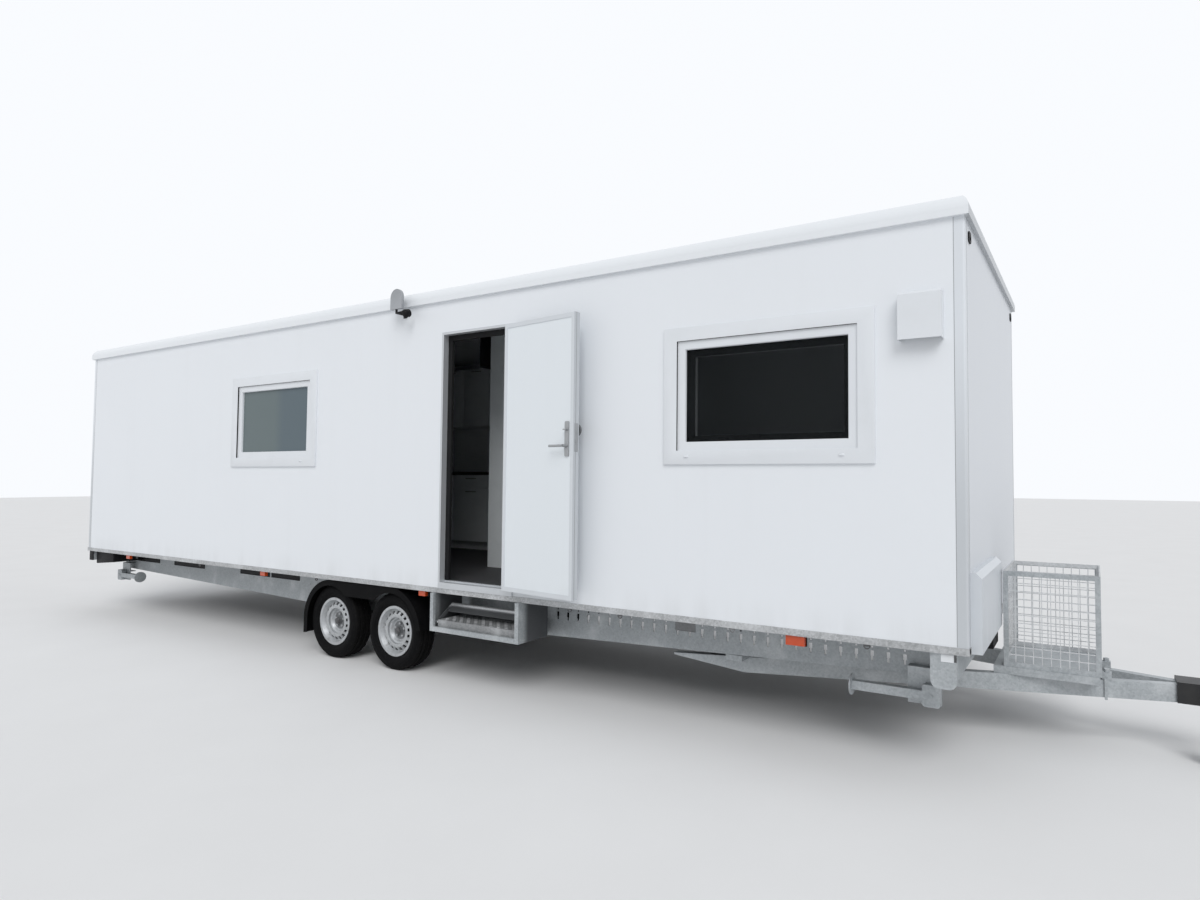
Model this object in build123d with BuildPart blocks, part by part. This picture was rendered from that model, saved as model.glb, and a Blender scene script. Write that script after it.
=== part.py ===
from build123d import *
import math
import os

os.makedirs("parts", exist_ok=True)

# Driving dimensions of the cabin box, in millimetres
cabin_length = 10170
cabin_width = 2550
rail_height = 40
rail_proud = 4
rail_gauge = 3
wall_height = 2310
wall_thickness = 60
post_width = 58
floor_thickness = 90
fascia_height = 112
fascia_proud = 24
fascia_lean = 34
roof_crown = 30

# The running gear and the height at which it carries the cabin
deck_height = 710
tyre_radius = 325
tyre_width = 195
rim_radius = 190
rim_flange_radius = 212
rim_width = 150
wheel_inset = 50
axle_from_end = 5012
axle_spacing = 818
axle_tube_radius = 38
stub_radius = 20
drawbar_reach = 1640

# Doorway, in the near wall
door_from_end = 3597
door_frame_width = 790
door_frame_top = 2095
sill_top = 98
door_rim = 20
door_gap = 5
door_thickness = 50
door_stop = 42
door_open_angle = 173
hinge_offset = 12

# Windows, in the near wall
window_width = 1396
window_height = 894
window_sill = 1017
window_hole_width = 1160
window_hole_height = 680
window_from_end = (1182, 6338)

# Coordinates: X along the cabin towards the drawbar, Y into it, Z up from the ground
total_length = cabin_length + drawbar_reach + fascia_proud
front_x = total_length / 2 - drawbar_reach
rear_x = front_x - cabin_length
open_door_reach = 190
middle_y = open_door_reach / 2
near_y = middle_y - cabin_width / 2
far_y = middle_y + cabin_width / 2
rail_bottom = deck_height
rail_top = rail_bottom + rail_height
floor_top = rail_bottom + floor_thickness
wall_top = rail_top + wall_height


def block(x_span, y_span, z_span, mode=Mode.ADD):
    """Adds a square block that fills the three given spans."""
    middle = tuple((low + high) / 2 for low, high in (x_span, y_span, z_span))
    with Locations(middle):
        Box(*[abs(high - low) for low, high in (x_span, y_span, z_span)], mode=mode)


def save(piece, name):
    """Labels a finished piece and writes its file."""
    piece.part.label = name
    export_step(piece.part, f"parts/{name}.step")


# Bottom rail: a cold-formed channel round the foot of the walls, open towards the floor
rail_depth = wall_thickness + rail_proud


def rail_profile(plane, facing):
    """Draws the channel's section with its back at the plane's origin."""
    with BuildSketch(plane) as section:
        with Locations((facing * rail_depth / 2, rail_height / 2)):
            Rectangle(rail_depth, rail_height)
        with Locations((facing * (rail_depth + rail_gauge) / 2, rail_height / 2)):
            Rectangle(rail_depth - rail_gauge, rail_height - 2 * rail_gauge, mode=Mode.SUBTRACT)
    return section.sketch


near_rail_plane = Plane(origin=(rear_x - rail_proud, near_y - rail_proud, rail_bottom),
                        x_dir=(0, 1, 0), z_dir=(1, 0, 0))
far_rail_plane = Plane(origin=(rear_x - rail_proud, far_y + rail_proud, rail_bottom),
                       x_dir=(0, 1, 0), z_dir=(1, 0, 0))
with BuildPart() as side_rails:
    add(extrude(rail_profile(near_rail_plane, 1), cabin_length + 2 * rail_proud, mode=Mode.PRIVATE))
    add(extrude(rail_profile(far_rail_plane, -1), cabin_length + 2 * rail_proud, mode=Mode.PRIVATE))
save(side_rails, "side_rails")

end_rail_length = cabin_width - 2 * wall_thickness
rear_rail_plane = Plane(origin=(rear_x - rail_proud, far_y - wall_thickness, rail_bottom),
                        x_dir=(1, 0, 0), z_dir=(0, -1, 0))
front_rail_plane = Plane(origin=(front_x + rail_proud, far_y - wall_thickness, rail_bottom),
                         x_dir=(1, 0, 0), z_dir=(0, -1, 0))
with BuildPart() as end_rails:
    add(extrude(rail_profile(rear_rail_plane, 1), end_rail_length, mode=Mode.PRIVATE))
    add(extrude(rail_profile(front_rail_plane, -1), end_rail_length, mode=Mode.PRIVATE))
save(end_rails, "end_rails")

# Floor: one sandwich panel between the walls, flush with the underside of the rail
inner_x = (rear_x + wall_thickness, front_x - wall_thickness)
inner_y = (near_y + wall_thickness, far_y - wall_thickness)
with BuildPart() as floor_panel:
    block(inner_x, inner_y, (rail_bottom, floor_top))
save(floor_panel, "floor_panel")

# Corner posts: folded sheet that laps round each vertical corner
post_round = 12
with BuildPart() as corner_posts:
    for x, x_in in ((rear_x, 1), (front_x, -1)):
        for y, y_in in ((near_y, 1), (far_y, -1)):
            with BuildSketch(Plane.XY.offset(rail_top)):
                with Locations((x + x_in * post_width / 2, y + y_in * post_width / 2)):
                    Rectangle(post_width, post_width)
            extrude(amount=wall_height)
    corners = corner_posts.edges().filter_by(Axis.Z)
    outer = [e for e in corners
             if min(abs(e.center().X - rear_x), abs(e.center().X - front_x)) < 1
             and min(abs(e.center().Y - near_y), abs(e.center().Y - far_y)) < 1]
    fillet(outer, post_round)
save(corner_posts, "corner_posts")

# Walls: sandwich panels that stand on the rail between the posts
door_x = front_x - door_from_end
door_left = door_x - door_frame_width / 2
door_right = door_x + door_frame_width / 2
door_head = rail_bottom + door_frame_top
near_wall_y = (near_y, near_y + wall_thickness)
far_wall_y = (far_y - wall_thickness, far_y)
wall_z = (rail_top, wall_top)
window_z = rail_bottom + window_sill + window_height / 2


def window_hole(from_end):
    """Cuts the hole for a window through the near wall."""
    x = front_x - from_end
    block((x - window_hole_width / 2, x + window_hole_width / 2), near_wall_y,
          (window_z - window_hole_height / 2, window_z + window_hole_height / 2), mode=Mode.SUBTRACT)


with BuildPart() as near_wall_rear:
    block((rear_x + post_width, door_left), near_wall_y, wall_z)
    window_hole(window_from_end[1])
save(near_wall_rear, "near_wall_rear")

with BuildPart() as near_wall_front:
    block((door_right, front_x - post_width), near_wall_y, wall_z)
    window_hole(window_from_end[0])
save(near_wall_front, "near_wall_front")

with BuildPart() as near_wall_over_door:
    block((door_left, door_right), near_wall_y, (door_head, wall_top))
save(near_wall_over_door, "near_wall_over_door")

with BuildPart() as far_wall:
    block((rear_x + post_width, front_x - post_width), far_wall_y, wall_z)
save(far_wall, "far_wall")

end_wall_y = (near_y + wall_thickness, far_y - wall_thickness)
with BuildPart() as rear_wall:
    block((rear_x, rear_x + wall_thickness), end_wall_y, wall_z)
save(rear_wall, "rear_wall")

with BuildPart() as drawbar_wall:
    block((front_x - wall_thickness, front_x), end_wall_y, wall_z)
save(drawbar_wall, "drawbar_wall")

# Roof: a low-crowned panel inside a fascia that rounds in towards its top
fascia_depth = wall_thickness + fascia_proud


def fascia_profile(plane, facing):
    """Draws the fascia's section, square at the foot and rounded in at the top."""
    foot = fascia_height * 0.3
    with BuildSketch(plane) as section:
        with BuildLine():
            Polyline((0, foot), (0, 0), (facing * fascia_depth, 0),
                     (facing * fascia_depth, fascia_height), (facing * fascia_lean, fascia_height))
            ThreePointArc((facing * fascia_lean, fascia_height),
                          (facing * fascia_lean * 0.32, fascia_height * 0.75), (0, foot))
        make_face()
    return section.sketch


fascia_near_plane = Plane(origin=(rear_x - fascia_proud, near_y - fascia_proud, wall_top),
                          x_dir=(0, 1, 0), z_dir=(1, 0, 0))
fascia_far_plane = Plane(origin=(rear_x - fascia_proud, far_y + fascia_proud, wall_top),
                         x_dir=(0, 1, 0), z_dir=(1, 0, 0))
fascia_length = cabin_length + 2 * fascia_proud
fascia_width = cabin_width + 2 * fascia_proud
fascia_rear_plane = Plane(origin=(rear_x - fascia_proud, far_y + fascia_proud, wall_top),
                          x_dir=(1, 0, 0), z_dir=(0, -1, 0))
fascia_front_plane = Plane(origin=(front_x + fascia_proud, far_y + fascia_proud, wall_top),
                           x_dir=(1, 0, 0), z_dir=(0, -1, 0))


def mitre(piece_x, piece_y, keep_sides):
    """Cuts the piece being made along the diagonal that runs up from a corner of the roof."""
    diagonal = Plane(origin=(piece_x, piece_y, wall_top), z_dir=keep_sides)
    split(bisect_by=diagonal, keep=Keep.TOP)


corners_of_roof = [(rear_x - fascia_proud, near_y - fascia_proud, 1, 1),
                   (front_x + fascia_proud, near_y - fascia_proud, -1, 1),
                   (front_x + fascia_proud, far_y + fascia_proud, -1, -1),
                   (rear_x - fascia_proud, far_y + fascia_proud, 1, -1)]
near_corners, far_corners = corners_of_roof[:2], corners_of_roof[2:]
rear_corners = [corners_of_roof[0], corners_of_roof[3]]
front_corners = corners_of_roof[1:3]
with BuildPart() as near_fascia:
    add(extrude(fascia_profile(fascia_near_plane, 1), fascia_length, mode=Mode.PRIVATE))
    for x, y, x_in, y_in in near_corners:
        mitre(x, y, (x_in, -y_in, 0))
with BuildPart() as far_fascia:
    add(extrude(fascia_profile(fascia_far_plane, -1), fascia_length, mode=Mode.PRIVATE))
    for x, y, x_in, y_in in far_corners:
        mitre(x, y, (x_in, -y_in, 0))
with BuildPart() as rear_fascia:
    add(extrude(fascia_profile(fascia_rear_plane, 1), fascia_width, mode=Mode.PRIVATE))
    for x, y, x_in, y_in in rear_corners:
        mitre(x, y, (-x_in, y_in, 0))
with BuildPart() as front_fascia:
    add(extrude(fascia_profile(fascia_front_plane, -1), fascia_width, mode=Mode.PRIVATE))
    for x, y, x_in, y_in in front_corners:
        mitre(x, y, (-x_in, y_in, 0))
with BuildPart() as side_fascias:
    add([near_fascia.part, far_fascia.part])
with BuildPart() as end_fascias:
    add([rear_fascia.part, front_fascia.part])
save(side_fascias, "side_fascias")
save(end_fascias, "end_fascias")

roof_plane = Plane(origin=(rear_x + wall_thickness, middle_y, wall_top), x_dir=(0, 1, 0), z_dir=(1, 0, 0))
roof_half = cabin_width / 2 - wall_thickness
with BuildPart() as roof_panel:
    with BuildSketch(roof_plane):
        with BuildLine():
            Polyline((-roof_half, fascia_height), (-roof_half, 0), (roof_half, 0), (roof_half, fascia_height))
            ThreePointArc((roof_half, fascia_height), (0, fascia_height + roof_crown), (-roof_half, fascia_height))
        make_face()
    extrude(amount=cabin_length - 2 * wall_thickness)
save(roof_panel, "roof_panel")

# Windows: a wide flange plate outside, a frame that fills the hole, and a pane
flange_thickness = 10
pane_thickness = 8
pane_setback = 18
pane_width = 1090
pane_height = 602
hole_clearance = 0.5


def rounded_plate(x, width, height, corner, y_span, mode=Mode.ADD):
    """Adds an upright plate with rounded corners, centred on a window."""
    with BuildSketch(Plane(origin=(x, y_span[1], window_z), x_dir=(1, 0, 0), z_dir=(0, -1, 0))) as face:
        RectangleRounded(width, height, corner)
    add(extrude(face.sketch, y_span[1] - y_span[0], mode=Mode.PRIVATE), mode=mode)


with BuildPart() as window_frames:
    for from_end in window_from_end:
        x = front_x - from_end
        rounded_plate(x, window_width, window_height, 14, (near_y - flange_thickness, near_y))
        rounded_plate(x, window_hole_width - 2 * hole_clearance, window_hole_height - 2 * hole_clearance,
                      20, (near_y - flange_thickness - 8, near_y + wall_thickness))
        rounded_plate(x, pane_width, pane_height, 12,
                      (near_y - flange_thickness - 10, near_y + wall_thickness + 1), mode=Mode.SUBTRACT)
save(window_frames, "window_frames")

with BuildPart() as window_panes:
    for from_end in window_from_end:
        x = front_x - from_end
        rounded_plate(x, pane_width, pane_height, 12, (near_y + pane_setback, near_y + pane_setback + pane_thickness))
save(window_panes, "window_panes")

# Door frame: stands on the rail, with a rebate that takes the leaf and a raised sill
frame_proud = 12
leaf_width = door_frame_width - 2 * (door_rim + door_gap)
leaf_foot = rail_bottom + sill_top - 6
leaf_head = door_head - door_rim - door_gap
leaf_height = leaf_head - leaf_foot
frame_y = (near_y - frame_proud, near_y + wall_thickness)
stop_depth = 18
rebate_y = (near_y - frame_proud, near_y + wall_thickness - stop_depth)
rebate_x = (door_left + door_rim, door_right - door_rim)
clear_x = (rebate_x[0] + door_stop, rebate_x[1] - door_stop)
clear_z = (rail_bottom + sill_top, door_head - door_rim - door_stop)
with BuildPart() as door_frame:
    block((door_left, door_right), frame_y, (rail_top, door_head))
    block(rebate_x, rebate_y, (leaf_foot - door_gap, door_head - door_rim), mode=Mode.SUBTRACT)
    block(clear_x, frame_y, clear_z, mode=Mode.SUBTRACT)
save(door_frame, "door_frame")

# Door leaf, standing open: the hinge line is just outside the wall at the leaf's edge
hinge_x = rebate_x[1] - door_gap
leaf_proud = 2
leaf_outer_y = near_y - frame_proud - leaf_proud
hinge_y = leaf_outer_y - hinge_offset
swing = math.radians(door_open_angle)
leaf_along = (-math.cos(swing), -math.sin(swing), 0)
leaf_normal = (-math.sin(swing), math.cos(swing), 0)


def leaf_plane(height, out):
    """Gives a plane on the open leaf: X from the hinge line, Y up, at a depth from that line."""
    origin = (hinge_x + leaf_normal[0] * out, hinge_y + leaf_normal[1] * out, height)
    return Plane(origin=origin, x_dir=leaf_along, z_dir=leaf_normal)


edge_width = 32
leaf_face = hinge_offset + door_thickness
leaf_edge_gap = 2
panel_inset = 4
with BuildPart() as door_edging:
    with BuildSketch(leaf_plane(leaf_foot, hinge_offset)):
        with Locations((leaf_width / 2 + leaf_edge_gap / 2, leaf_height / 2)):
            Rectangle(leaf_width - leaf_edge_gap, leaf_height)
            Rectangle(leaf_width - leaf_edge_gap - 2 * edge_width, leaf_height - 2 * edge_width,
                      mode=Mode.SUBTRACT)
    extrude(amount=door_thickness)
save(door_edging, "door_edging")

with BuildPart() as door_panel:
    with BuildSketch(leaf_plane(leaf_foot, hinge_offset + panel_inset)):
        with Locations((leaf_width / 2 + leaf_edge_gap / 2, leaf_height / 2)):
            Rectangle(leaf_width - leaf_edge_gap - 2 * edge_width, leaf_height - 2 * edge_width)
    extrude(amount=door_thickness - 2 * panel_inset)
save(door_panel, "door_panel")

# Hinges: a lower knuckle with a pin on the frame and an upper knuckle on the leaf
knuckle_radius = 8
knuckle_length = 60
pin_radius = 4
pin_play = 0.05
hinge_heights = [leaf_foot + leaf_height * share for share in (0.1, 0.5, 0.88)]
flap_thickness = 4
with BuildPart() as frame_hinges:
    for height in hinge_heights:
        with BuildSketch(Plane(origin=(hinge_x, hinge_y, height - knuckle_length))):
            Circle(knuckle_radius)
            with Locations((door_gap + door_rim / 2, hinge_offset + leaf_proud - flap_thickness / 2)):
                Rectangle(door_rim, flap_thickness)
            with Locations((knuckle_radius, knuckle_radius)):
                Rectangle(flap_thickness * 2, flap_thickness * 3)
        extrude(amount=knuckle_length - 1)
        with BuildSketch(Plane(origin=(hinge_x, hinge_y, height - 1))):
            Circle(pin_radius)
        extrude(amount=knuckle_length - 6)
save(frame_hinges, "frame_hinges")

with BuildPart() as leaf_hinges:
    for height in hinge_heights:
        knuckle = leaf_plane(height, 0)
        with BuildSketch(Plane(origin=knuckle.origin, x_dir=leaf_along, z_dir=(0, 0, 1))):
            Circle(knuckle_radius)
            with Locations((door_rim / 2 + 6, -hinge_offset + flap_thickness / 2)):
                Rectangle(door_rim + 12, flap_thickness)
            with Locations((knuckle_radius / 2, -hinge_offset / 2)):
                Rectangle(flap_thickness * 2, hinge_offset)
            Circle(pin_radius + pin_play, mode=Mode.SUBTRACT)
        extrude(amount=knuckle_length)
save(leaf_hinges, "leaf_hinges")

# Door furniture: a long backplate with a sprung lever and a turn inside, a knob outside
spindle_from_edge = 64
spindle_x = leaf_width - spindle_from_edge
spindle_height = rail_bottom + 1146
plate_width = 40
plate_height = 244
plate_thickness = 8
plate_rise = 48
turn_rise = 112
turn_collar = 8
panel_face = leaf_face - panel_inset
plate_face = panel_face + plate_thickness
spindle_radius = 10
spindle_socket = 6
with BuildPart() as door_backplate:
    with BuildSketch(leaf_plane(spindle_height + plate_rise, panel_face)):
        with Locations((spindle_x, 0)):
            RectangleRounded(plate_width, plate_height, 10)
    extrude(amount=plate_thickness)
    with BuildSketch(leaf_plane(spindle_height + turn_rise, plate_face)):
        with Locations((spindle_x, 0)):
            Circle(11)
    extrude(amount=turn_collar)
    with BuildSketch(leaf_plane(spindle_height + turn_rise, plate_face + turn_collar)):
        with Locations((spindle_x, 0)):
            SlotOverall(30, 8)
    extrude(amount=16)
    with BuildSketch(leaf_plane(spindle_height, plate_face - spindle_socket)):
        with Locations((spindle_x, 0)):
            Circle(spindle_radius + pin_play)
    extrude(amount=plate_thickness, mode=Mode.SUBTRACT)
save(door_backplate, "door_backplate")

lever_stand = 42
lever_reach = 128
lever_radius = 9
with BuildPart() as door_lever:
    with BuildSketch(leaf_plane(spindle_height, plate_face - spindle_socket + 0.5)):
        with Locations((spindle_x, 0)):
            Circle(spindle_radius)
    extrude(amount=lever_stand)
    bar_plane = Plane(origin=leaf_plane(spindle_height, plate_face + lever_stand).origin,
                      x_dir=leaf_normal, z_dir=leaf_along)
    with BuildSketch(bar_plane.offset(spindle_x - lever_reach)):
        Circle(lever_radius)
    extrude(amount=lever_reach)
save(door_lever, "door_lever")

knob_radius = 45
knob_reach = 46
knob_cap = 18
with BuildPart() as door_knob:
    with BuildSketch(leaf_plane(spindle_height + turn_rise, hinge_offset - knob_reach)):
        with Locations((spindle_x, 0)):
            Circle(knob_radius)
    extrude(amount=knob_cap)
    with BuildSketch(leaf_plane(spindle_height + turn_rise, hinge_offset - knob_reach + knob_cap)):
        with Locations((spindle_x, 0)):
            Circle(knob_radius * 0.4)
    extrude(amount=knob_reach - knob_cap + panel_inset)
save(door_knob, "door_knob")

# Fittings on the near wall: a vent cowl, a lamp with its sensor, and lifting points
vent_from_end = 226
vent_width = 232
vent_height = 262
vent_depth = 78
vent_round = 14
vent_top = rail_bottom + 1954
with BuildPart() as vent_cowl:
    x = front_x - vent_from_end
    block((x - vent_width / 2, x + vent_width / 2), (near_y - vent_depth, near_y),
          (vent_top - vent_height, vent_top))
    top_edge = vent_cowl.edges().filter_by(Axis.X).group_by(Axis.Z)[-1].sort_by(Axis.Y)[0]
    chamfer(top_edge, vent_round)
    block((x - vent_width / 2 + 4, x + vent_width / 2 - 4), (near_y - vent_depth + 4, near_y),
          (vent_top - vent_height, vent_top - vent_round - 4), mode=Mode.SUBTRACT)
save(vent_cowl, "vent_cowl")

lamp_from_end = 4400
lamp_z = rail_bottom + 2385
lamp_width = 160
lamp_height = 240
lamp_thickness = 55
lamp_stand = 75
lamp_stem = 12
sensor_radius = 32
with BuildPart() as eave_lamp:
    x = front_x - lamp_from_end
    block((x - 25, x + 25), (near_y - 20, near_y), (lamp_z - 190, lamp_z - 100))
    block((x - lamp_stem, x + lamp_stem), (near_y - lamp_stand - 20, near_y - 20), (lamp_z - 140, lamp_z - 116))
    block((x - lamp_stem, x + lamp_stem), (near_y - lamp_stand - 20, near_y - lamp_stand),
          (lamp_z - 140, lamp_z - 60))
    with BuildSketch(Plane(origin=(x, near_y - lamp_stand, lamp_z), x_dir=(1, 0, 0), z_dir=(0, -1, 0))):
        Rectangle(lamp_width, lamp_height - lamp_width, align=(Align.CENTER, Align.MAX))
        Circle(lamp_width / 2)
    extrude(amount=lamp_thickness)
    with BuildSketch(Plane(origin=(x + 62, near_y - lamp_stand, lamp_z - 142), x_dir=(1, 0, 0), z_dir=(0, -1, 0))):
        Circle(sensor_radius)
    extrude(amount=lamp_thickness, taper=14)
    block((x, x + 62), (near_y - lamp_stand - 12, near_y - lamp_stand + 5), (lamp_z - 150, lamp_z - 134))
save(eave_lamp, "eave_lamp")

lift_from_top = 45
lift_inset = 150
with BuildPart() as lifting_points:
    for x, outward in ((rear_x, -1), (front_x, 1)):
        for y in (near_y + lift_inset, far_y - lift_inset):
            with BuildSketch(Plane(origin=(x, y, wall_top - lift_from_top - 35), x_dir=(0, outward, 0),
                                   z_dir=(outward, 0, 0))):
                RectangleRounded(76, 60, 20)
                with Locations((0, -6)):
                    SlotOverall(44, 22, mode=Mode.SUBTRACT)
            extrude(amount=8)
save(lifting_points, "lifting_points")

locker_y = (near_y + 66, near_y + 1000)
locker_height = 430
locker_depth = 55
with BuildPart() as end_locker:
    block((front_x + rail_proud, front_x + rail_proud + locker_depth), locker_y,
          (rail_bottom, rail_bottom + locker_height))
    front_top = end_locker.edges().filter_by(Axis.Y).group_by(Axis.Z)[-1].sort_by(Axis.X)[-1]
    chamfer(front_top, 30)
    block((front_x, front_x + rail_proud), locker_y, (rail_top, rail_bottom + locker_height))
save(end_locker, "end_locker")

# Inside, as seen through the doorway: one partition panel and a kitchen on the far wall
partition_y = near_y + 880
partition_thickness = 40
partition_x = (front_x - 4350, front_x - 3060)
with BuildPart() as partition:
    block(partition_x, (partition_y, partition_y + partition_thickness), (floor_top, wall_top))
save(partition, "partition")

kitchen_x = (front_x - 6500, front_x - 4800)
kitchen_depth = 600
worktop_height = 890
worktop_thickness = 30
kick_height = 95
inner_back = far_y - wall_thickness
with BuildPart() as kitchen_base:
    block(kitchen_x, (inner_back - kitchen_depth + 20, inner_back),
          (floor_top + kick_height, floor_top + worktop_height - worktop_thickness))
    block(kitchen_x, (inner_back - kitchen_depth + 75, inner_back), (floor_top, floor_top + kick_height))
save(kitchen_base, "kitchen_base")

with BuildPart() as kitchen_worktop:
    block((kitchen_x[0] - 10, kitchen_x[1] + 10), (inner_back - kitchen_depth, inner_back),
          (floor_top + worktop_height - worktop_thickness, floor_top + worktop_height))
save(kitchen_worktop, "kitchen_worktop")

wall_unit_depth = 320
wall_unit_z = (floor_top + 1440, floor_top + 2140)
with BuildPart() as kitchen_wall_unit:
    block(kitchen_x, (inner_back - wall_unit_depth, inner_back), wall_unit_z)
save(kitchen_wall_unit, "kitchen_wall_unit")

# Chassis: two deep side beams, fish-bellied towards the axles and slotted along their webs
beam_inset = 350
beam_gauge = 5
beam_flange = 60
beam_end = 200
belly_depth = 330
tip_depth_front = 215
tip_depth_rear = 230
belly_half = 1100
axle_x = front_x - axle_from_end
rear_beam_end = 120
beam_x = (rear_x + rear_beam_end, front_x - beam_end)
slot_pitch = 98
slot_count = 28
slot_from_end = 410
slot_drop = 144
slot_height = 62
slot_width = 14
eyelet_size = 12
eyelet_rise = 52
notch_spans = ((6400, 6889), (6923, 7467), (8193, 8857), (9200, 9880))
notch_depth = 118
beam_points = [(beam_x[0], 0), (beam_x[0], -tip_depth_rear), (axle_x - belly_half, -belly_depth),
               (axle_x + belly_half, -belly_depth), (beam_x[1], -tip_depth_front), (beam_x[1], 0)]


def side_beam(y, inward):
    """Adds one side beam: a tapered web, slotted, with a flange along its head and its foot."""
    web = Plane(origin=(0, y, rail_bottom), x_dir=(1, 0, 0), z_dir=(0, -1, 0))
    with BuildSketch(web) as web_face:
        with BuildLine():
            Polyline(*beam_points, close=True)
        make_face()
        for first, last in notch_spans:
            with Locations((front_x - (first + last) / 2, -notch_depth / 2)):
                Rectangle(last - first, notch_depth, mode=Mode.SUBTRACT)
        for n in range(slot_count):
            with Locations((front_x - slot_from_end - n * slot_pitch, -slot_drop)):
                Rectangle(slot_width, slot_height, mode=Mode.SUBTRACT)
                with Locations((0, eyelet_rise)):
                    Rectangle(eyelet_size, eyelet_size, mode=Mode.SUBTRACT)
    with BuildSketch(web) as flange_face:
        with BuildLine():
            Polyline(*beam_points, close=True)
        make_face()
        with BuildLine():
            foot = [(x, -depth) for x, depth in
                    ((beam_x[0], tip_depth_rear - beam_gauge), (axle_x - belly_half, belly_depth - beam_gauge),
                     (axle_x + belly_half, belly_depth - beam_gauge), (beam_x[1], tip_depth_front - beam_gauge))]
            Polyline((beam_x[0], -beam_gauge), *foot, (beam_x[1], -beam_gauge), close=True)
        make_face(mode=Mode.SUBTRACT)
    add(extrude(web_face.sketch, -inward * beam_gauge, mode=Mode.PRIVATE))
    add(extrude(flange_face.sketch, -inward * beam_flange, mode=Mode.PRIVATE))


with BuildPart() as side_beams:
    side_beam(near_y + beam_inset, 1)
    side_beam(far_y - beam_inset, -1)
save(side_beams, "side_beams")

# Cross members: channels between the beams under the floor
cross_depth = 100
cross_width = 50
front_beam_inset = 12
front_beam_depth = 140
cheek_drop = 192
cheek_gauge = 10
front_beam_x = (front_x - beam_end, front_x - 62)
rear_beam_x = (rear_x + 30, rear_x + rear_beam_end)
rear_beam_depth = 110
cross_y = (near_y + beam_inset + beam_gauge, far_y - beam_inset - beam_gauge)
cross_from_end = (330, 1500, 2700, 3900, 6300, 7800, 9020, 9960)
with BuildPart() as cross_members:
    for from_end in cross_from_end:
        x = front_x - from_end
        block((x - cross_width / 2, x + cross_width / 2), cross_y,
              (rail_bottom - beam_gauge - cross_depth, rail_bottom - beam_gauge))
        block((x - cross_width / 2 + beam_gauge, x + cross_width / 2), cross_y,
              (rail_bottom - cross_depth, rail_bottom - 2 * beam_gauge), mode=Mode.SUBTRACT)
    block(rear_beam_x, (near_y + front_beam_inset, far_y - front_beam_inset),
          (rail_bottom - rear_beam_depth, rail_bottom))
    block(front_beam_x, (near_y + front_beam_inset, far_y - front_beam_inset),
          (rail_bottom - front_beam_depth, rail_bottom))
    for y in (near_y + front_beam_inset, far_y - front_beam_inset - cheek_gauge):
        with BuildSketch(Plane(origin=(sum(front_beam_x) / 2, y, rail_bottom - cheek_drop / 2),
                               x_dir=(1, 0, 0), z_dir=(0, -1, 0))):
            RectangleRounded(front_beam_x[1] - front_beam_x[0], cheek_drop, 45)
        extrude(amount=-cheek_gauge)
save(cross_members, "cross_members")

# Drawbar: two beams that run in under the side beams' feet and meet ahead of the cabin
drawbar_drop = 297
drawbar_top = rail_bottom - drawbar_drop
drawbar_depth = 104
drawbar_thickness = 60
drawbar_tail = (2000, 375)
drawbar_nose = (1000, 43)
drawbar_taper = 480
collar_reach = 622
collar_gauge = 16
collar_proud = 12
drawbar_spread = cabin_width / 2 - drawbar_tail[1]
drawbar_run = drawbar_tail[0] + drawbar_nose[0]
drawbar_slope = (drawbar_spread - drawbar_nose[1]) / drawbar_run


def drawbar_centre(from_end):
    """Gives how far a beam's middle lies from the cabin's centre line, at a distance from the end wall."""
    return drawbar_nose[1] + (from_end + drawbar_nose[0]) * drawbar_slope


beam_half_y = drawbar_thickness / 2 * math.hypot(1, drawbar_slope)
with BuildPart() as drawbar_beams:
    for side in (-1, 1):
        tail = (front_x - drawbar_tail[0], middle_y + side * drawbar_centre(drawbar_tail[0]))
        nose = (front_x + drawbar_nose[0], middle_y + side * drawbar_nose[1])
        with BuildSketch(Plane.XY.offset(drawbar_top - drawbar_depth)):
            with BuildLine():
                Polyline((tail[0], tail[1] - beam_half_y), (nose[0], nose[1] - beam_half_y),
                         (nose[0], nose[1] + beam_half_y), (tail[0], tail[1] + beam_half_y), close=True)
            make_face()
        extrude(amount=drawbar_depth)
    with BuildSketch(Plane(origin=(front_x, near_y, drawbar_top), x_dir=(1, 0, 0), z_dir=(0, -1, 0))):
        with BuildLine():
            Polyline((-drawbar_tail[0] - 1, -12), (-drawbar_tail[0] + drawbar_taper, -drawbar_depth - 1),
                     (-drawbar_tail[0] - 1, -drawbar_depth - 1), close=True)
        make_face()
    extrude(amount=-cabin_width, mode=Mode.SUBTRACT)
    for side in (-1, 1):
        y = middle_y + side * drawbar_centre(-collar_reach)
        collar_y = (y - drawbar_thickness / 2 - collar_proud, y + drawbar_thickness / 2 + collar_proud)
        block((front_x + collar_reach, front_x + collar_reach + collar_gauge), collar_y,
              (drawbar_top - drawbar_depth - collar_proud, drawbar_top + collar_proud))
        block((front_x + collar_reach - 10, front_x + collar_reach + 40), (y - 24, y + 24),
              (drawbar_top, drawbar_top + 45))
        with BuildSketch(Plane.XY.offset(drawbar_top + 45)):
            with Locations((front_x + collar_reach + 15, y)):
                RegularPolygon(17, 6)
        extrude(amount=20)
save(drawbar_beams, "drawbar_beams")

# Seats that carry the side beams and the front cross member on the drawbar
seat_clearance = 0.3
seat_from_end = (1480, 1600)
seat_width = 120
guard_gap = 52
guard_radius = tyre_radius + guard_gap
guard_gauge = 5
guard_stay = 130


def beam_foot(from_end):
    """Gives how deep the side beam is at a distance from the end wall, ahead of the axles."""
    belly_from_end = axle_from_end - belly_half
    share = (belly_from_end - from_end) / (belly_from_end - beam_end)
    return belly_depth - share * (belly_depth - tip_depth_front)


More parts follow.
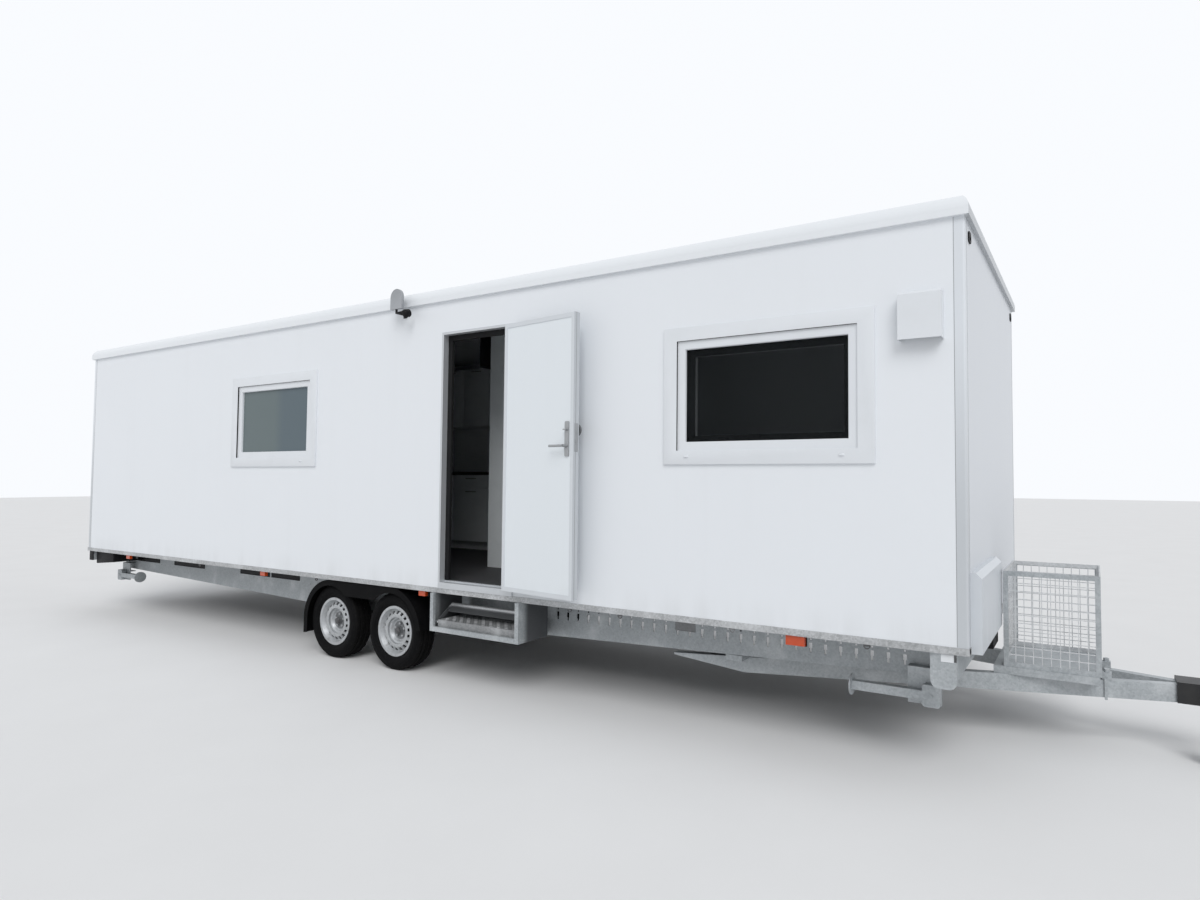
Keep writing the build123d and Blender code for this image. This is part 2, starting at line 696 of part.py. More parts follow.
with BuildPart() as chassis_brackets:
    for side in (-1, 1):
        beam_y = middle_y + side * (cabin_width / 2 - beam_inset)
        block((front_x - seat_from_end[1], front_x - seat_from_end[0]), sorted((beam_y, beam_y - side * seat_width)),
              (drawbar_top, rail_bottom - beam_foot(seat_from_end[1]) - seat_clearance))
        post_y = middle_y + side * drawbar_centre(cross_from_end[0])
        block((front_x - cross_from_end[0] - 25, front_x - cross_from_end[0] + 25),
              (post_y - seat_width / 2, post_y + seat_width / 2), (drawbar_top, rail_bottom - beam_gauge - cross_depth))
        stay_y = sorted((beam_y, beam_y + side * guard_stay))
        stay_top = tyre_radius + guard_radius - guard_gauge
        block((axle_x - 60, axle_x + 60), stay_y, (stay_top - beam_gauge, stay_top))
save(chassis_brackets, "chassis_brackets")

# Towing head: a box that clamps the beams, a sliding tube and a ring eye
head_x = front_x + drawbar_nose[0]
head_length = 320
eye_radius = 20
eye_wall = 22
eye_thickness = 30
tow_z = drawbar_top - drawbar_depth / 2
eye_x = front_x + drawbar_reach - eye_radius - eye_wall
with BuildPart() as towing_head:
    block((head_x, head_x + head_length), (middle_y - 90, middle_y + 90),
          (drawbar_top - drawbar_depth, drawbar_top + 20))
    with BuildSketch(Plane(origin=(head_x + head_length, middle_y, tow_z), z_dir=(1, 0, 0))):
        Circle(30)
    extrude(amount=eye_x - head_x - head_length - eye_radius)
    with BuildSketch(Plane.XY.offset(tow_z - eye_thickness / 2)):
        with Locations((eye_x, middle_y)):
            Circle(eye_radius + eye_wall)
    extrude(amount=eye_thickness)
    with BuildSketch(Plane.XY.offset(tow_z - 60)):
        with Locations((eye_x, middle_y)):
            Circle(eye_radius)
    extrude(amount=120, mode=Mode.SUBTRACT)
save(towing_head, "towing_head")

# Jockey wheel: a tube clamped beside the head, with a small solid-tyred wheel under it
jockey_radius = 100
jockey_y = middle_y - 150
jockey_x = head_x + 200
with BuildPart() as jockey_leg:
    block((jockey_x - 40, jockey_x + 40), (jockey_y - 5, middle_y - 90), (tow_z - 40, tow_z + 40))
    with BuildSketch(Plane(origin=(jockey_x, jockey_y - 30, jockey_radius + 125))):
        Circle(30)
    extrude(amount=drawbar_top + 150 - jockey_radius - 125)
    for side in (-1, 1):
        block((jockey_x - 20, jockey_x + 20), (jockey_y - 30 + side * 36 - 3, jockey_y - 30 + side * 36 + 3),
              (jockey_radius - 20, jockey_radius + 125))
    block((jockey_x - 20, jockey_x + 20), (jockey_y - 30 - 39, jockey_y - 30 + 39),
          (jockey_radius + 115, jockey_radius + 126))
save(jockey_leg, "jockey_leg")

with BuildPart() as jockey_wheel:
    with BuildSketch(Plane(origin=(jockey_x, jockey_y - 30 - 32.5, jockey_radius), z_dir=(0, 1, 0))):
        Circle(jockey_radius)
    extrude(amount=65)
    chamfer(jockey_wheel.edges().filter_by(GeomType.CIRCLE), 12)
save(jockey_wheel, "jockey_wheel")

# Axles: a square-ended tube between the wheels with a bracket to each side beam
wheel_y = wheel_inset + tyre_width / 2
axle_positions = {"front": axle_x + axle_spacing / 2, "rear": axle_x - axle_spacing / 2}
drum_radius = 125
drum_depth = 70
drum_y = wheel_y + 28
with BuildPart() as axles:
    for x in axle_positions.values():
        axle_plane = Plane(origin=(x, near_y + drum_y + drum_depth + 6, tyre_radius), z_dir=(0, 1, 0))
        with BuildSketch(axle_plane):
            Circle(axle_tube_radius)
        extrude(amount=cabin_width - 2 * (drum_y + drum_depth + 6))
        for y, outward in ((near_y + drum_y + drum_depth + 6, -1), (far_y - drum_y - drum_depth - 6, 1)):
            with BuildSketch(Plane(origin=(x, y, tyre_radius), z_dir=(0, outward, 0))):
                Circle(stub_radius)
            extrude(amount=drum_depth + 20)
        for y in (near_y + beam_inset + 40, far_y - beam_inset - 40):
            block((x - 60, x + 60), (y - 20, y + 20), (tyre_radius, rail_bottom - belly_depth))
save(axles, "axles")

# Wheels: a rolled rim with a pressed, vented disc, a hub and drum, and a tyre
vent_count = 18
vent_ring = 149
boss_radius = 34
tyre_shoulder = 34
bead = rim_radius + 4
disc_y = 20


def wheel_profile_plane(x, y, outward):
    """Gives a plane through the wheel's axis: X along the axis outwards, Y along the radius."""
    return Plane(origin=(x, y, tyre_radius), x_dir=(0, outward, 0), z_dir=(outward, 0, 0))


def make_wheel(name, x, y, outward):
    """Writes one wheel's rim and tyre, turned about the axle."""
    plane = wheel_profile_plane(x, y, outward)
    turn = Axis((x, y, tyre_radius), (0, 1, 0))
    half = rim_width / 2
    with BuildPart() as rim:
        with BuildSketch(plane):
            with BuildLine():
                Polyline((-half, rim_flange_radius), (-half, rim_radius), (-half + 45, rim_radius - 22),
                         (half - 45, rim_radius - 22), (half, rim_radius), (half, rim_flange_radius),
                         (half - 6, rim_flange_radius), (half - 8, rim_radius + 4), (half - 44, rim_radius - 18),
                         (-half + 44, rim_radius - 18), (-half + 8, rim_radius + 4),
                         (-half + 6, rim_flange_radius), close=True)
            make_face()
            with BuildLine():
                Polyline((disc_y - 10, rim_radius - 22), (disc_y - 6, 163), (disc_y + 16, 136), (disc_y + 20, 128),
                         (disc_y + 20, 106), (disc_y + 14, 98), (disc_y - 4, 88), (disc_y - 6, boss_radius + 6),
                         (disc_y - 4, boss_radius), (disc_y + 16, boss_radius - 3),
                         (disc_y + 16, stub_radius + pin_play), (disc_y - 96, stub_radius + pin_play),
                         (disc_y - 96, drum_radius), (disc_y - 24, drum_radius), (disc_y - 18, 130),
                         (disc_y - 20, rim_radius - 22), close=True)
            make_face()
        revolve(axis=turn)
        disc_plane = Plane(origin=(x, y + outward * 60, tyre_radius), x_dir=(1, 0, 0), z_dir=(0, outward, 0))
        with BuildSketch(disc_plane):
            with PolarLocations(vent_ring, vent_count):
                Rectangle(17, 27)
        extrude(amount=-100, mode=Mode.SUBTRACT)
    save(rim, f"{name}_rim")
    wide = tyre_width / 2
    with BuildPart() as tyre:
        with BuildSketch(plane):
            with BuildLine():
                outer_side = [(half - 8.3, bead), (half - 6.3, rim_flange_radius + 0.3), (wide - 8, bead + 54),
                              (wide - 3, bead + 76), (wide - 6, tyre_radius - 34), (wide - 14, tyre_radius - 15),
                              (wide - 26, tyre_radius - 3)]
                inner_side = [(half - 30, tyre_radius - 26), (half - 20, bead + 44), (half - 30, bead - 2)]
                grooves = [(48, tyre_radius - 1), (48, tyre_radius - 9), (40, tyre_radius - 9), (40, tyre_radius - 1),
                           (12, tyre_radius), (12, tyre_radius - 9), (4, tyre_radius - 9), (4, tyre_radius)]
                half_round = [(0, tyre_radius - 22), *inner_side, *outer_side, *grooves, (0, tyre_radius)]
                mirrored = [(-across, up) for across, up in reversed(half_round[1:-1])]
                Polyline(*half_round, *mirrored, close=True)
            make_face()
        revolve(axis=turn)
    save(tyre, f"{name}_tyre")


for row, x in axle_positions.items():
    make_wheel(f"near_{row}", x, near_y + wheel_y, -1)
    make_wheel(f"far_{row}", x, far_y - wheel_y, 1)

# Mudguards: one moulded cover over each pair of wheels
guard_valley = rail_bottom - 135
guard_lip = 50
guard_y = (20, 20 + tyre_width + 65)
guard_rear_foot = rail_bottom - 515
guard_front_foot = rail_bottom - 335


def cover_outline(face, inset, drop):
    """Draws a cover's closed outline, drawn in by an inset and with its feet let down by a drop."""
    left, right = axle_positions["rear"], axle_positions["front"]
    radius = guard_radius - inset
    crown = tyre_radius + radius
    slant = radius * math.sqrt(0.5)
    front_foot = guard_front_foot - drop
    rear_foot = guard_rear_foot - drop
    front_run = math.sqrt(radius ** 2 - (front_foot - tyre_radius) ** 2)
    with BuildSketch(face) as outline:
        with BuildLine():
            Polyline((right + front_run, front_foot), (left - radius, rear_foot), (left - radius, tyre_radius))
            ThreePointArc((left - radius, tyre_radius), (left - slant, tyre_radius + slant), (left, crown))
            Line((left, crown), (right, crown))
            ThreePointArc((right, crown), (right + slant, tyre_radius + slant), (right + front_run, front_foot))
        make_face()
    return outline.sketch


def mudguard(y, inward):
    """Adds one cover: a shell that follows both tyres, with a lip round its outer edge."""
    face = Plane(origin=(0, y, 0), x_dir=(1, 0, 0), z_dir=(0, -1, 0))
    left, right = axle_positions["rear"], axle_positions["front"]
    mouth = guard_radius - guard_lip
    low = guard_rear_foot - guard_gauge
    with BuildSketch(face) as opening:
        for x in (left, right):
            with Locations((x, tyre_radius)):
                Circle(mouth)
        with Locations(((left + right) / 2, (tyre_radius + low) / 2)):
            Rectangle(right - left + 2 * mouth, tyre_radius - low)
        with Locations(((left + right) / 2, (tyre_radius + guard_valley) / 2)):
            Rectangle(right - left, guard_valley - tyre_radius)
    outer = cover_outline(face, 0, 0)
    shell = outer - cover_outline(face, guard_gauge, guard_gauge)
    add(extrude(shell, -inward * (guard_y[1] - guard_y[0]), mode=Mode.PRIVATE))
    add(extrude(outer - opening.sketch, -inward * guard_gauge, mode=Mode.PRIVATE))


with BuildPart() as mudguards:
    mudguard(near_y + guard_y[0], 1)
    mudguard(far_y - guard_y[0], -1)
save(mudguards, "mudguards")

# Corner steadies: folded up under the beams, each turning on a pin near the beam's foot
steady_pivot_from_end = 240
steady_drop = 306
steady_length = 460
steady_width = 46
steady_depth = 52
pad_radius = 62
pad_gauge = 8
steady_inset = 262
lug_width = 100
lug_height = 125
steady_pin = 10
steady_pivots = {
    "near_front": (front_x - steady_pivot_from_end, near_y + steady_inset, -1),
    "near_rear": (rear_x + steady_pivot_from_end, near_y + steady_inset, 1),
    "far_front": (front_x - steady_pivot_from_end, far_y - steady_inset, -1),
    "far_rear": (rear_x + steady_pivot_from_end, far_y - steady_inset, 1),
}
steady_z = rail_bottom - steady_drop
for name, (x, y, along) in steady_pivots.items():
    with BuildPart() as steady:
        side = Plane(origin=(x, y + steady_width / 2, steady_z), x_dir=(1, 0, 0), z_dir=(0, -1, 0))
        with BuildSketch(side):
            with Locations((along * steady_length / 2, 0)):
                Rectangle(steady_length, steady_depth)
            RectangleRounded(lug_width, lug_height, 16)
            Circle(steady_pin + pin_play, mode=Mode.SUBTRACT)
        extrude(amount=steady_width)
        with BuildSketch(Plane(origin=(x + along * steady_length, y, steady_z), z_dir=(along, 0, 0))):
            Circle(pad_radius)
        extrude(amount=pad_gauge)
    save(steady, f"steady_{name}")

cheek_clearance = 5.5
bracket_gauge = 8
bracket_reach = (-50, 141)
bracket_top = rail_bottom - 160
with BuildPart() as steady_brackets:
    for x, y, along in steady_pivots.values():
        inward = 1 if y < middle_y else -1
        beam_face = near_y + beam_inset if y < middle_y else far_y - beam_inset
        cheek = y + inward * (steady_width / 2 + cheek_clearance)
        with BuildSketch(Plane(origin=(x, cheek, steady_z), x_dir=(1, 0, 0), z_dir=(0, -inward, 0))):
            Circle(steady_pin)
        extrude(amount=steady_width + 2 * cheek_clearance)
        reach = sorted((x + along * bracket_reach[0], x + along * bracket_reach[1]))
        block(reach, sorted((cheek, cheek + inward * bracket_gauge)), (steady_z - lug_height / 2, bracket_top))
        block(reach, sorted((cheek, beam_face)), (bracket_top - bracket_gauge, bracket_top))
        block(reach, sorted((cheek, beam_face)), (steady_z + 40, steady_z + 40 + bracket_gauge))
save(steady_brackets, "steady_brackets")

# Step box under the doorway: a welded frame with a fixed tread and a folding one
step_x = (front_x - 4047, front_x - 3110)
step_y = (near_y - 36, near_y + 290)
step_foot = rail_bottom - 300
step_bar = 36
fold_pivot_y = step_y[0] + 40
fold_pivot_z = step_foot + 70
fold_reach = 190
fold_tube = 16
fold_pin = 6
rung_depth = 70
fold_x = (step_x[0] + step_bar + 8, step_x[1] - step_bar - 8)
fold_rise = math.radians(37)
tube_y = fold_pivot_y + fold_reach * math.cos(fold_rise)
tube_z = fold_pivot_z + fold_reach * math.sin(fold_rise)
with BuildPart() as step_box:
    for x in (step_x[0], step_x[1] - 6):
        block((x, x + 6), step_y, (step_foot, rail_bottom))
    for x in (step_x[0], step_x[1] - step_bar):
        block((x, x + step_bar), (step_y[0], step_y[0] + 24), (step_foot, rail_bottom))
    block(step_x, (step_y[0], step_y[0] + 24), (step_foot, step_foot + step_bar))
    block(step_x, (step_y[1] - 6, step_y[1]), (step_foot, step_foot + 120))
    block(step_x, step_y, (step_foot, step_foot + 6))
    for x in ((step_x[0] + 6, fold_x[0] + 10), (fold_x[1] - 10, step_x[1] - 6)):
        with BuildSketch(Plane(origin=(x[0], fold_pivot_y, fold_pivot_z), z_dir=(1, 0, 0))):
            Circle(fold_pin)
        extrude(amount=x[1] - x[0])
save(step_box, "step_box")

with BuildPart() as fixed_tread:
    block((step_x[0] + 50, step_x[1] - 50), (step_y[0] + 26, step_y[1] - 10), (step_foot + 6, step_foot + 30))
save(fixed_tread, "fixed_tread")

with BuildPart() as folding_step:
    with BuildSketch(Plane(origin=(fold_x[0], tube_y, tube_z), z_dir=(1, 0, 0))):
        Circle(fold_tube)
    extrude(amount=fold_x[1] - fold_x[0])
    for x in (fold_x[0], fold_x[1] - 6):
        arm = Plane(origin=(x, fold_pivot_y, fold_pivot_z), x_dir=(0, math.cos(fold_rise), math.sin(fold_rise)),
                    z_dir=(1, 0, 0))
        with BuildSketch(arm):
            with Locations((fold_reach / 2, 0)):
                SlotOverall(fold_reach + 30, 30)
            Circle(fold_pin + pin_play, mode=Mode.SUBTRACT)
        extrude(amount=6)
    with BuildSketch(Plane(origin=(fold_x[0], fold_pivot_y, fold_pivot_z),
                           x_dir=(0, math.cos(fold_rise), math.sin(fold_rise)), z_dir=(1, 0, 0))):
        with Locations((fold_reach - rung_depth / 2, -fold_tube / 2)):
            Rectangle(rung_depth, 4)
    extrude(amount=fold_x[1] - fold_x[0])
save(folding_step, "folding_step")

# Basket on the drawbar: an angle frame, open at the top, with welded mesh sides
basket_x = (front_x + 70, front_x + 610)
basket_y = (middle_y - 325, middle_y + 325)
base_height = 46
base_x = (front_x + 10, front_x + 600)
basket_z = (drawbar_top + base_height, drawbar_top + base_height + 600)
angle = 30
angle_gauge = 4
basket_floor_gauge = 3
base_proud = 10
with BuildPart() as basket_frame:
    for x, x_in in ((basket_x[0], 1), (basket_x[1], -1)):
        for y, y_in in ((basket_y[0], 1), (basket_y[1], -1)):
            block(sorted((x, x + x_in * angle)), sorted((y, y + y_in * angle_gauge)), basket_z)
            block(sorted((x, x + x_in * angle_gauge)), sorted((y, y + y_in * angle)), basket_z)
    for z in (basket_z[0], basket_z[1] - angle):
        for y, y_in in ((basket_y[0], 1), (basket_y[1], -1)):
            block(basket_x, sorted((y, y + y_in * angle_gauge)), (z, z + angle))
        for x, x_in in ((basket_x[0], 1), (basket_x[1], -1)):
            block(sorted((x, x + x_in * angle_gauge)), basket_y, (z, z + angle))
    block(basket_x, basket_y, (basket_z[0], basket_z[0] + basket_floor_gauge))
    for y, y_in in ((basket_y[0], 1), (basket_y[1], -1)):
        block(base_x, sorted((y - y_in * base_proud, y + y_in * angle)), (drawbar_top, basket_z[0]))
    for x in (base_x[0], base_x[1] - base_height):
        block((x, x + base_height), basket_y, (drawbar_top, basket_z[0]))
save(basket_frame, "basket_frame")

# Welded mesh: one sheet on each side of the basket, inside the angles, cut into square cells
mesh_gauge = 3
mesh_bar = 5
mesh_pitch = 50


def mesh_panel(plane, width, height):
    """Draws a mesh sheet centred on a plane: as many whole cells as fit between its edges."""
    across = int((width - mesh_bar) // mesh_pitch)
    up = int((height - mesh_bar) // mesh_pitch)
    with BuildSketch(plane) as sheet:
        Rectangle(width, height)
        with GridLocations(mesh_pitch, mesh_pitch, across, up):
            Rectangle(mesh_pitch - mesh_bar, mesh_pitch - mesh_bar, mode=Mode.SUBTRACT)
    return sheet.sketch


mesh_z = (basket_z[0] + basket_floor_gauge, basket_z[1])
mesh_middle = (sum(basket_x) / 2, middle_y, sum(mesh_z) / 2)
mesh_height = mesh_z[1] - mesh_z[0]
mesh_length = basket_x[1] - basket_x[0] - 2 * angle_gauge
mesh_width = basket_y[1] - basket_y[0] - 2 * angle_gauge - 2 * mesh_gauge
with BuildPart() as basket_mesh:
    for y, y_in in ((basket_y[0], 1), (basket_y[1], -1)):
        side_face = Plane(origin=(mesh_middle[0], y + y_in * angle_gauge, mesh_middle[2]), x_dir=(1, 0, 0),
                          z_dir=(0, -1, 0))
        add(extrude(mesh_panel(side_face, mesh_length, mesh_height), -y_in * mesh_gauge, mode=Mode.PRIVATE))
    for x, x_in in ((basket_x[0], 1), (basket_x[1], -1)):
        end_face = Plane(origin=(x + x_in * angle_gauge, middle_y, mesh_middle[2]), x_dir=(0, 1, 0), z_dir=(1, 0, 0))
        add(extrude(mesh_panel(end_face, mesh_width, mesh_height), x_in * mesh_gauge, mode=Mode.PRIVATE))
save(basket_mesh, "basket_mesh")

# Lamps: side markers under the rail and tail lamps at the rear end
marker_from_end = (972, 4200, 6463, 9179)
marker_sizes = ((118, 60), (78, 44), (78, 44), (78, 44))
marker_depth = 28
with BuildPart() as marker_lamps:
    for from_end, (marker_width, marker_height) in zip(marker_from_end, marker_sizes):
        x = front_x - from_end
        for y, inward in ((near_y + 10, 1), (far_y - 10, -1)):
            block((x - marker_width / 2, x + marker_width / 2), sorted((y, y + inward * marker_depth)),
                  (rail_bottom - marker_height, rail_bottom))
save(marker_lamps, "marker_lamps")

with BuildPart() as tail_lamps:
    for y in (near_y + 260, far_y - 260):
        block((rear_x - rail_proud + 10, rear_beam_x[0]), (y - 120, y + 120), (rail_bottom - rear_beam_depth, rail_bottom))
save(tail_lamps, "tail_lamps")
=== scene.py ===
import math

import bmesh
import bpy
from mathutils import Matrix


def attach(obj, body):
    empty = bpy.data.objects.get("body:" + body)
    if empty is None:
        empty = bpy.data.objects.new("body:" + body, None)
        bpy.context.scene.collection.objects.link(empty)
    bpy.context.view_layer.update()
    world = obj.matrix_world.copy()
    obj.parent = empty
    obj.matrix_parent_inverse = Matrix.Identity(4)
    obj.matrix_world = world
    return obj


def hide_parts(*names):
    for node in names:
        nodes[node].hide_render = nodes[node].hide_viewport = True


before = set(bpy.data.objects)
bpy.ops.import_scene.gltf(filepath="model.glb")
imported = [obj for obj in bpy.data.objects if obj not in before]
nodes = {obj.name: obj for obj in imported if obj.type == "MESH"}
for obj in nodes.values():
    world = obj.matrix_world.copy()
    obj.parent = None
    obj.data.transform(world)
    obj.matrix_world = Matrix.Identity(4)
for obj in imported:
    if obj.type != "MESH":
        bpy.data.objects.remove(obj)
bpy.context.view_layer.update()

# The camera stands near the drawbar end, at about eye height, and looks back along the door side.
# The photograph was taken with a wide lens and framed a little off centre.
eye = bpy.data.cameras.new("photo_view")
eye.lens = 21.36
eye.shift_x = -0.0744
eye.shift_y = -0.0007
eye.clip_end = 200
photo_view = bpy.data.objects.new("photo_view", eye)
bpy.context.collection.objects.link(photo_view)
heading = Matrix.Rotation(math.radians(29.535), 3, "Z")
tilt = Matrix.Rotation(math.pi / 2 + math.radians(2.235), 3, "X")
roll = Matrix.Rotation(math.radians(0.272), 3, "Z")
photo_view.rotation_euler = (heading @ tilt @ roll).to_euler()
photo_view.location = (4.856, -5.189, 1.646)
bpy.context.scene.camera = photo_view
bpy.context.scene.view_settings.view_transform = "Standard"


# The ground is a plain pale studio floor and the walls of the studio are its white world.
# One soft lamp from the side of the drawbar gives the cabin its shadows.
class Wire:
    """One output of a shader node, on which Python's arithmetic adds Math nodes."""

    def __init__(self, socket):
        self.socket = socket

    def node(self, kind, inputs, out=0, **settings):
        """Adds a node: its settings first, then the values or links of its sockets."""
        tree = self.socket.id_data
        new = tree.nodes.new(kind)
        for name, value in settings.items():
            setattr(new, name, value)
        for name, value in inputs.items():
            if isinstance(value, Wire):
                tree.links.new(value.socket, new.inputs[name])
            else:
                new.inputs[name].default_value = value
        return Wire(new.outputs[out])

    def math(self, operation, second=0.0):
        return self.node("ShaderNodeMath", {0: self, 1: second}, operation=operation)

    def __add__(self, other):
        return self.math("ADD", other)

    def __sub__(self, other):
        return self.math("SUBTRACT", other)

    def __rsub__(self, other):
        return self.node("ShaderNodeMath", {0: other, 1: self}, operation="SUBTRACT")

    def __mul__(self, other):
        return self.math("MULTIPLY", other)

    __radd__ = __add__
    __rmul__ = __mul__

    def between(self, low, high):
        """Runs from 0 to 1 while the value goes from low to high."""
        return self.node("ShaderNodeMapRange", {0: self, 1: low, 2: high, 3: 0.0, 4: 1.0},
                         interpolation_type="SMOOTHSTEP")

    def wave(self, rate):
        """A sine of the value, taken a number of times faster."""
        return (self * rate).math("SINE")

    def blend(self, low, high):
        """Mixes two colours, or numbers, by this value."""
        if isinstance(low, (int, float)):
            return self * (high - low) + low
        ends = [(*end, 1) if isinstance(end, tuple) else end for end in (low, high)]
        return self.node("ShaderNodeMix", {0: self, 6: ends[0], 7: ends[1]}, out=2, data_type="RGBA")


def feed(shader, **sockets):
    """Links or sets a shader's sockets by name, with _ for a space."""
    for name, value in sockets.items():
        socket = shader.inputs[name.replace("_", " ")]
        if isinstance(value, Wire):
            socket.id_data.links.new(value.socket, socket)
        else:
            socket.default_value = (*value, 1) if isinstance(value, tuple) else value


studio = bpy.data.worlds.new("studio")
studio.use_nodes = True
bpy.context.scene.world = studio
ray = studio.node_tree.nodes.new("ShaderNodeLightPath")
seen = Wire(ray.outputs["Is Camera Ray"])
mirrored = Wire(ray.outputs["Is Glossy Ray"])
through = Wire(ray.outputs["Is Transmission Ray"])
direct = seen.math("MAXIMUM", mirrored).math("MAXIMUM", through)
feed(studio.node_tree.nodes["Background"], Color=(0.95, 0.97, 1.0), Strength=direct.blend(0.62, 1.0))

bpy.ops.object.select_all(action="DESELECT")
bpy.ops.mesh.primitive_plane_add(size=120, location=(0, 0, 0))
floor = bpy.context.object
floor.name = "studio_floor"


def finish(name):
    """Starts a material and returns it with its Principled shader and its Object coordinates."""
    made = bpy.data.materials.new(name)
    made.use_nodes = True
    shader = made.node_tree.nodes["Principled BSDF"]
    place = Wire(made.node_tree.nodes.new("ShaderNodeTexCoord").outputs["Object"])
    return made, shader, place


pale_floor, shader, place = finish("pale_floor")
dust = place.node("ShaderNodeTexNoise", {"Vector": place, "Scale": 1.4, "Detail": 6.0})
feed(shader, Base_Color=dust.blend((0.78, 0.78, 0.78), (0.82, 0.82, 0.82)), Roughness=0.9)
shader.inputs["Specular IOR Level"].default_value = 0.2
floor.data.materials.append(pale_floor)

lamp = bpy.data.lights.new("soft_lamp", "SUN")
lamp.energy = 1.45
lamp.angle = math.radians(35)
soft_lamp = bpy.data.objects.new("soft_lamp", lamp)
soft_lamp.rotation_euler = (math.radians(48), 0, math.radians(38))
bpy.context.collection.objects.link(soft_lamp)


# Side rails run right round the floor and carry the walls; they are bright, freshly galvanised sheet.
# Cross members, drawbar and steadies are hot-dip galvanised steel, whose zinc has set in small dull patches.
def paint(material, *names):
    """Gives each named CAD node one material."""
    for name in names:
        nodes[name].data.materials.clear()
        nodes[name].data.materials.append(material)


def zinc(name, dark, light, dull=0.5, speckle=0.45):
    """Galvanised steel with its patches of crystal, pale bloom and fine runs."""
    made, shader, place = finish(name)
    crystals = place.node("ShaderNodeTexVoronoi", {"Vector": place, "Scale": 95.0}, out=1)
    patch = crystals.node("ShaderNodeSeparateColor", {0: crystals})
    cloud = place.node("ShaderNodeTexNoise", {"Vector": place, "Scale": 4.5, "Detail": 8.0})
    spots = place.node("ShaderNodeTexNoise", {"Vector": place, "Scale": 55.0, "Detail": 4.0})
    bloom = cloud.between(0.52, 0.72) * 0.35
    tone = patch * speckle + cloud.between(0.3, 0.7) * 0.3 + spots.between(0.35, 0.7) * (0.7 - speckle)
    fine = place.node("ShaderNodeTexNoise", {"Vector": place, "Scale": 180.0, "Detail": 3.0})
    bump = fine.node("ShaderNodeBump", {"Height": fine + patch * 0.4, "Strength": 0.14, "Distance": 0.0006})
    colour = bloom.blend(tone.blend(dark, light), (0.66, 0.68, 0.69))
    feed(shader, Base_Color=colour, Roughness=tone.blend(dull - 0.1, dull + 0.12),
         Metallic=0.35, Normal=bump)
    return made


bright_zinc = zinc("bright_zinc", (0.31, 0.32, 0.325), (0.58, 0.59, 0.60), 0.45, 0.6)
paint(bright_zinc, "side_rails", "end_rails")
galvanised = zinc("galvanised", (0.31, 0.335, 0.35), (0.50, 0.525, 0.54))
paint(galvanised, "cross_members", "drawbar_beams", "chassis_brackets", "steady_brackets",
      "steady_near_front", "steady_near_rear", "steady_far_front", "steady_far_rear",
      "basket_frame", "jockey_leg")


# Side beams are pressed from sheet, and slots with widened heads pierce them ahead of the step box.
# Behind the wheels a row of small round holes is punched along the web instead.
def split(place):
    """Returns the X, Y and Z parts of a vector."""
    tree = place.socket.id_data
    parts = tree.nodes.new("ShaderNodeSeparateXYZ")
    tree.links.new(place.socket, parts.inputs[0])
    return [Wire(part) for part in parts.outputs]


def reopen(material):
    """Returns the shader, the Object coordinates and the base colour of a material made before."""
    tree = material.node_tree
    shader = tree.nodes["Principled BSDF"]
    place = Wire(tree.nodes["Texture Coordinate"].outputs["Object"])
    return shader, place, Wire(shader.inputs["Base Color"].links[0].from_socket)


def reach_of(first, second):
    """The distance that two offsets at right angles make."""
    return (first * first + second * second).math("SQRT")


front_x = 4.277
rail_foot = 0.710
pitch = 0.098
hole_z = rail_foot - 0.148
slot_x = front_x - 0.410
punched = zinc("punched_beam", (0.28, 0.305, 0.32), (0.46, 0.485, 0.50))
shader, place, _ = reopen(punched)
x, _, z = split(place)
from_hole = (((x - front_x) * (1 / pitch)).math("FRACT") - 0.5) * pitch
behind_wheels = x.between(-1.93, -1.96) * x.between(-4.90, -4.87)
hole = reach_of(from_hole, z - hole_z).between(0.0068, 0.0060) * behind_wheels
from_slot = (((x - slot_x) * (1 / pitch) + 0.5).math("FRACT") - 0.5) * pitch
head = (from_slot * from_slot).between(0.0112 ** 2, 0.0104 ** 2)
head = head * z.between(0.559, 0.563) * z.between(0.599, 0.596)
head = head * x.between(1.16, 1.18) * x.between(3.93, 3.91)
feed(shader, Alpha=1 - hole.math("MAXIMUM", head))
paint(punched, "side_beams")


# Basket on the drawbar: wire mesh, welded into the galvanised frame.
# Its thin wire was dipped after the welding, and its zinc is paler than the frame's.
mesh_wire = zinc("mesh_wire", (0.50, 0.515, 0.525), (0.70, 0.71, 0.72), 0.42)
paint(mesh_wire, "basket_mesh")


# Lashing eyes hang under the rail: a bent steel ring, welded to a small tab that is bolted to the rail.
# They are of dull dark steel, seven of them on the near side and four on the far one.
near_y = -1.180
far_y = 1.370


def settle():
    """Puts the place and turn of the new piece into its mesh."""
    bpy.ops.object.transform_apply(location=True, rotation=True, scale=True)


def slab(name, low, high):
    """Starts a piece as a block between two corners, with its place in its mesh."""
    bpy.ops.object.select_all(action="DESELECT")
    size = [b - a for a, b in zip(low, high)]
    bpy.ops.mesh.primitive_cube_add(size=1, location=[(a + b) / 2 for a, b in zip(low, high)], scale=size)
    settle()
    bpy.context.object.name = name
    return bpy.context.object


def soften(piece, width, segments=2):
    """Rounds the sharp edges of a piece and smooths its shading."""
    bpy.ops.object.select_all(action="DESELECT")
    bpy.context.view_layer.objects.active = piece
    piece.select_set(True)
    bevel = piece.modifiers.new("edges", "BEVEL")
    bevel.width = width
    bevel.segments = segments
    bevel.limit_method = "ANGLE"
    bpy.ops.object.modifier_apply(modifier="edges")
    bpy.ops.object.shade_smooth_by_angle(angle=math.radians(40))


def weld(name, *pieces):
    """Joins pieces into one, under a name."""
    bpy.ops.object.select_all(action="DESELECT")
    for piece in pieces:
        piece.select_set(True)
    bpy.context.view_layer.objects.active = pieces[0]
    bpy.ops.object.join()
    pieces[0].name = name
    return pieces[0]


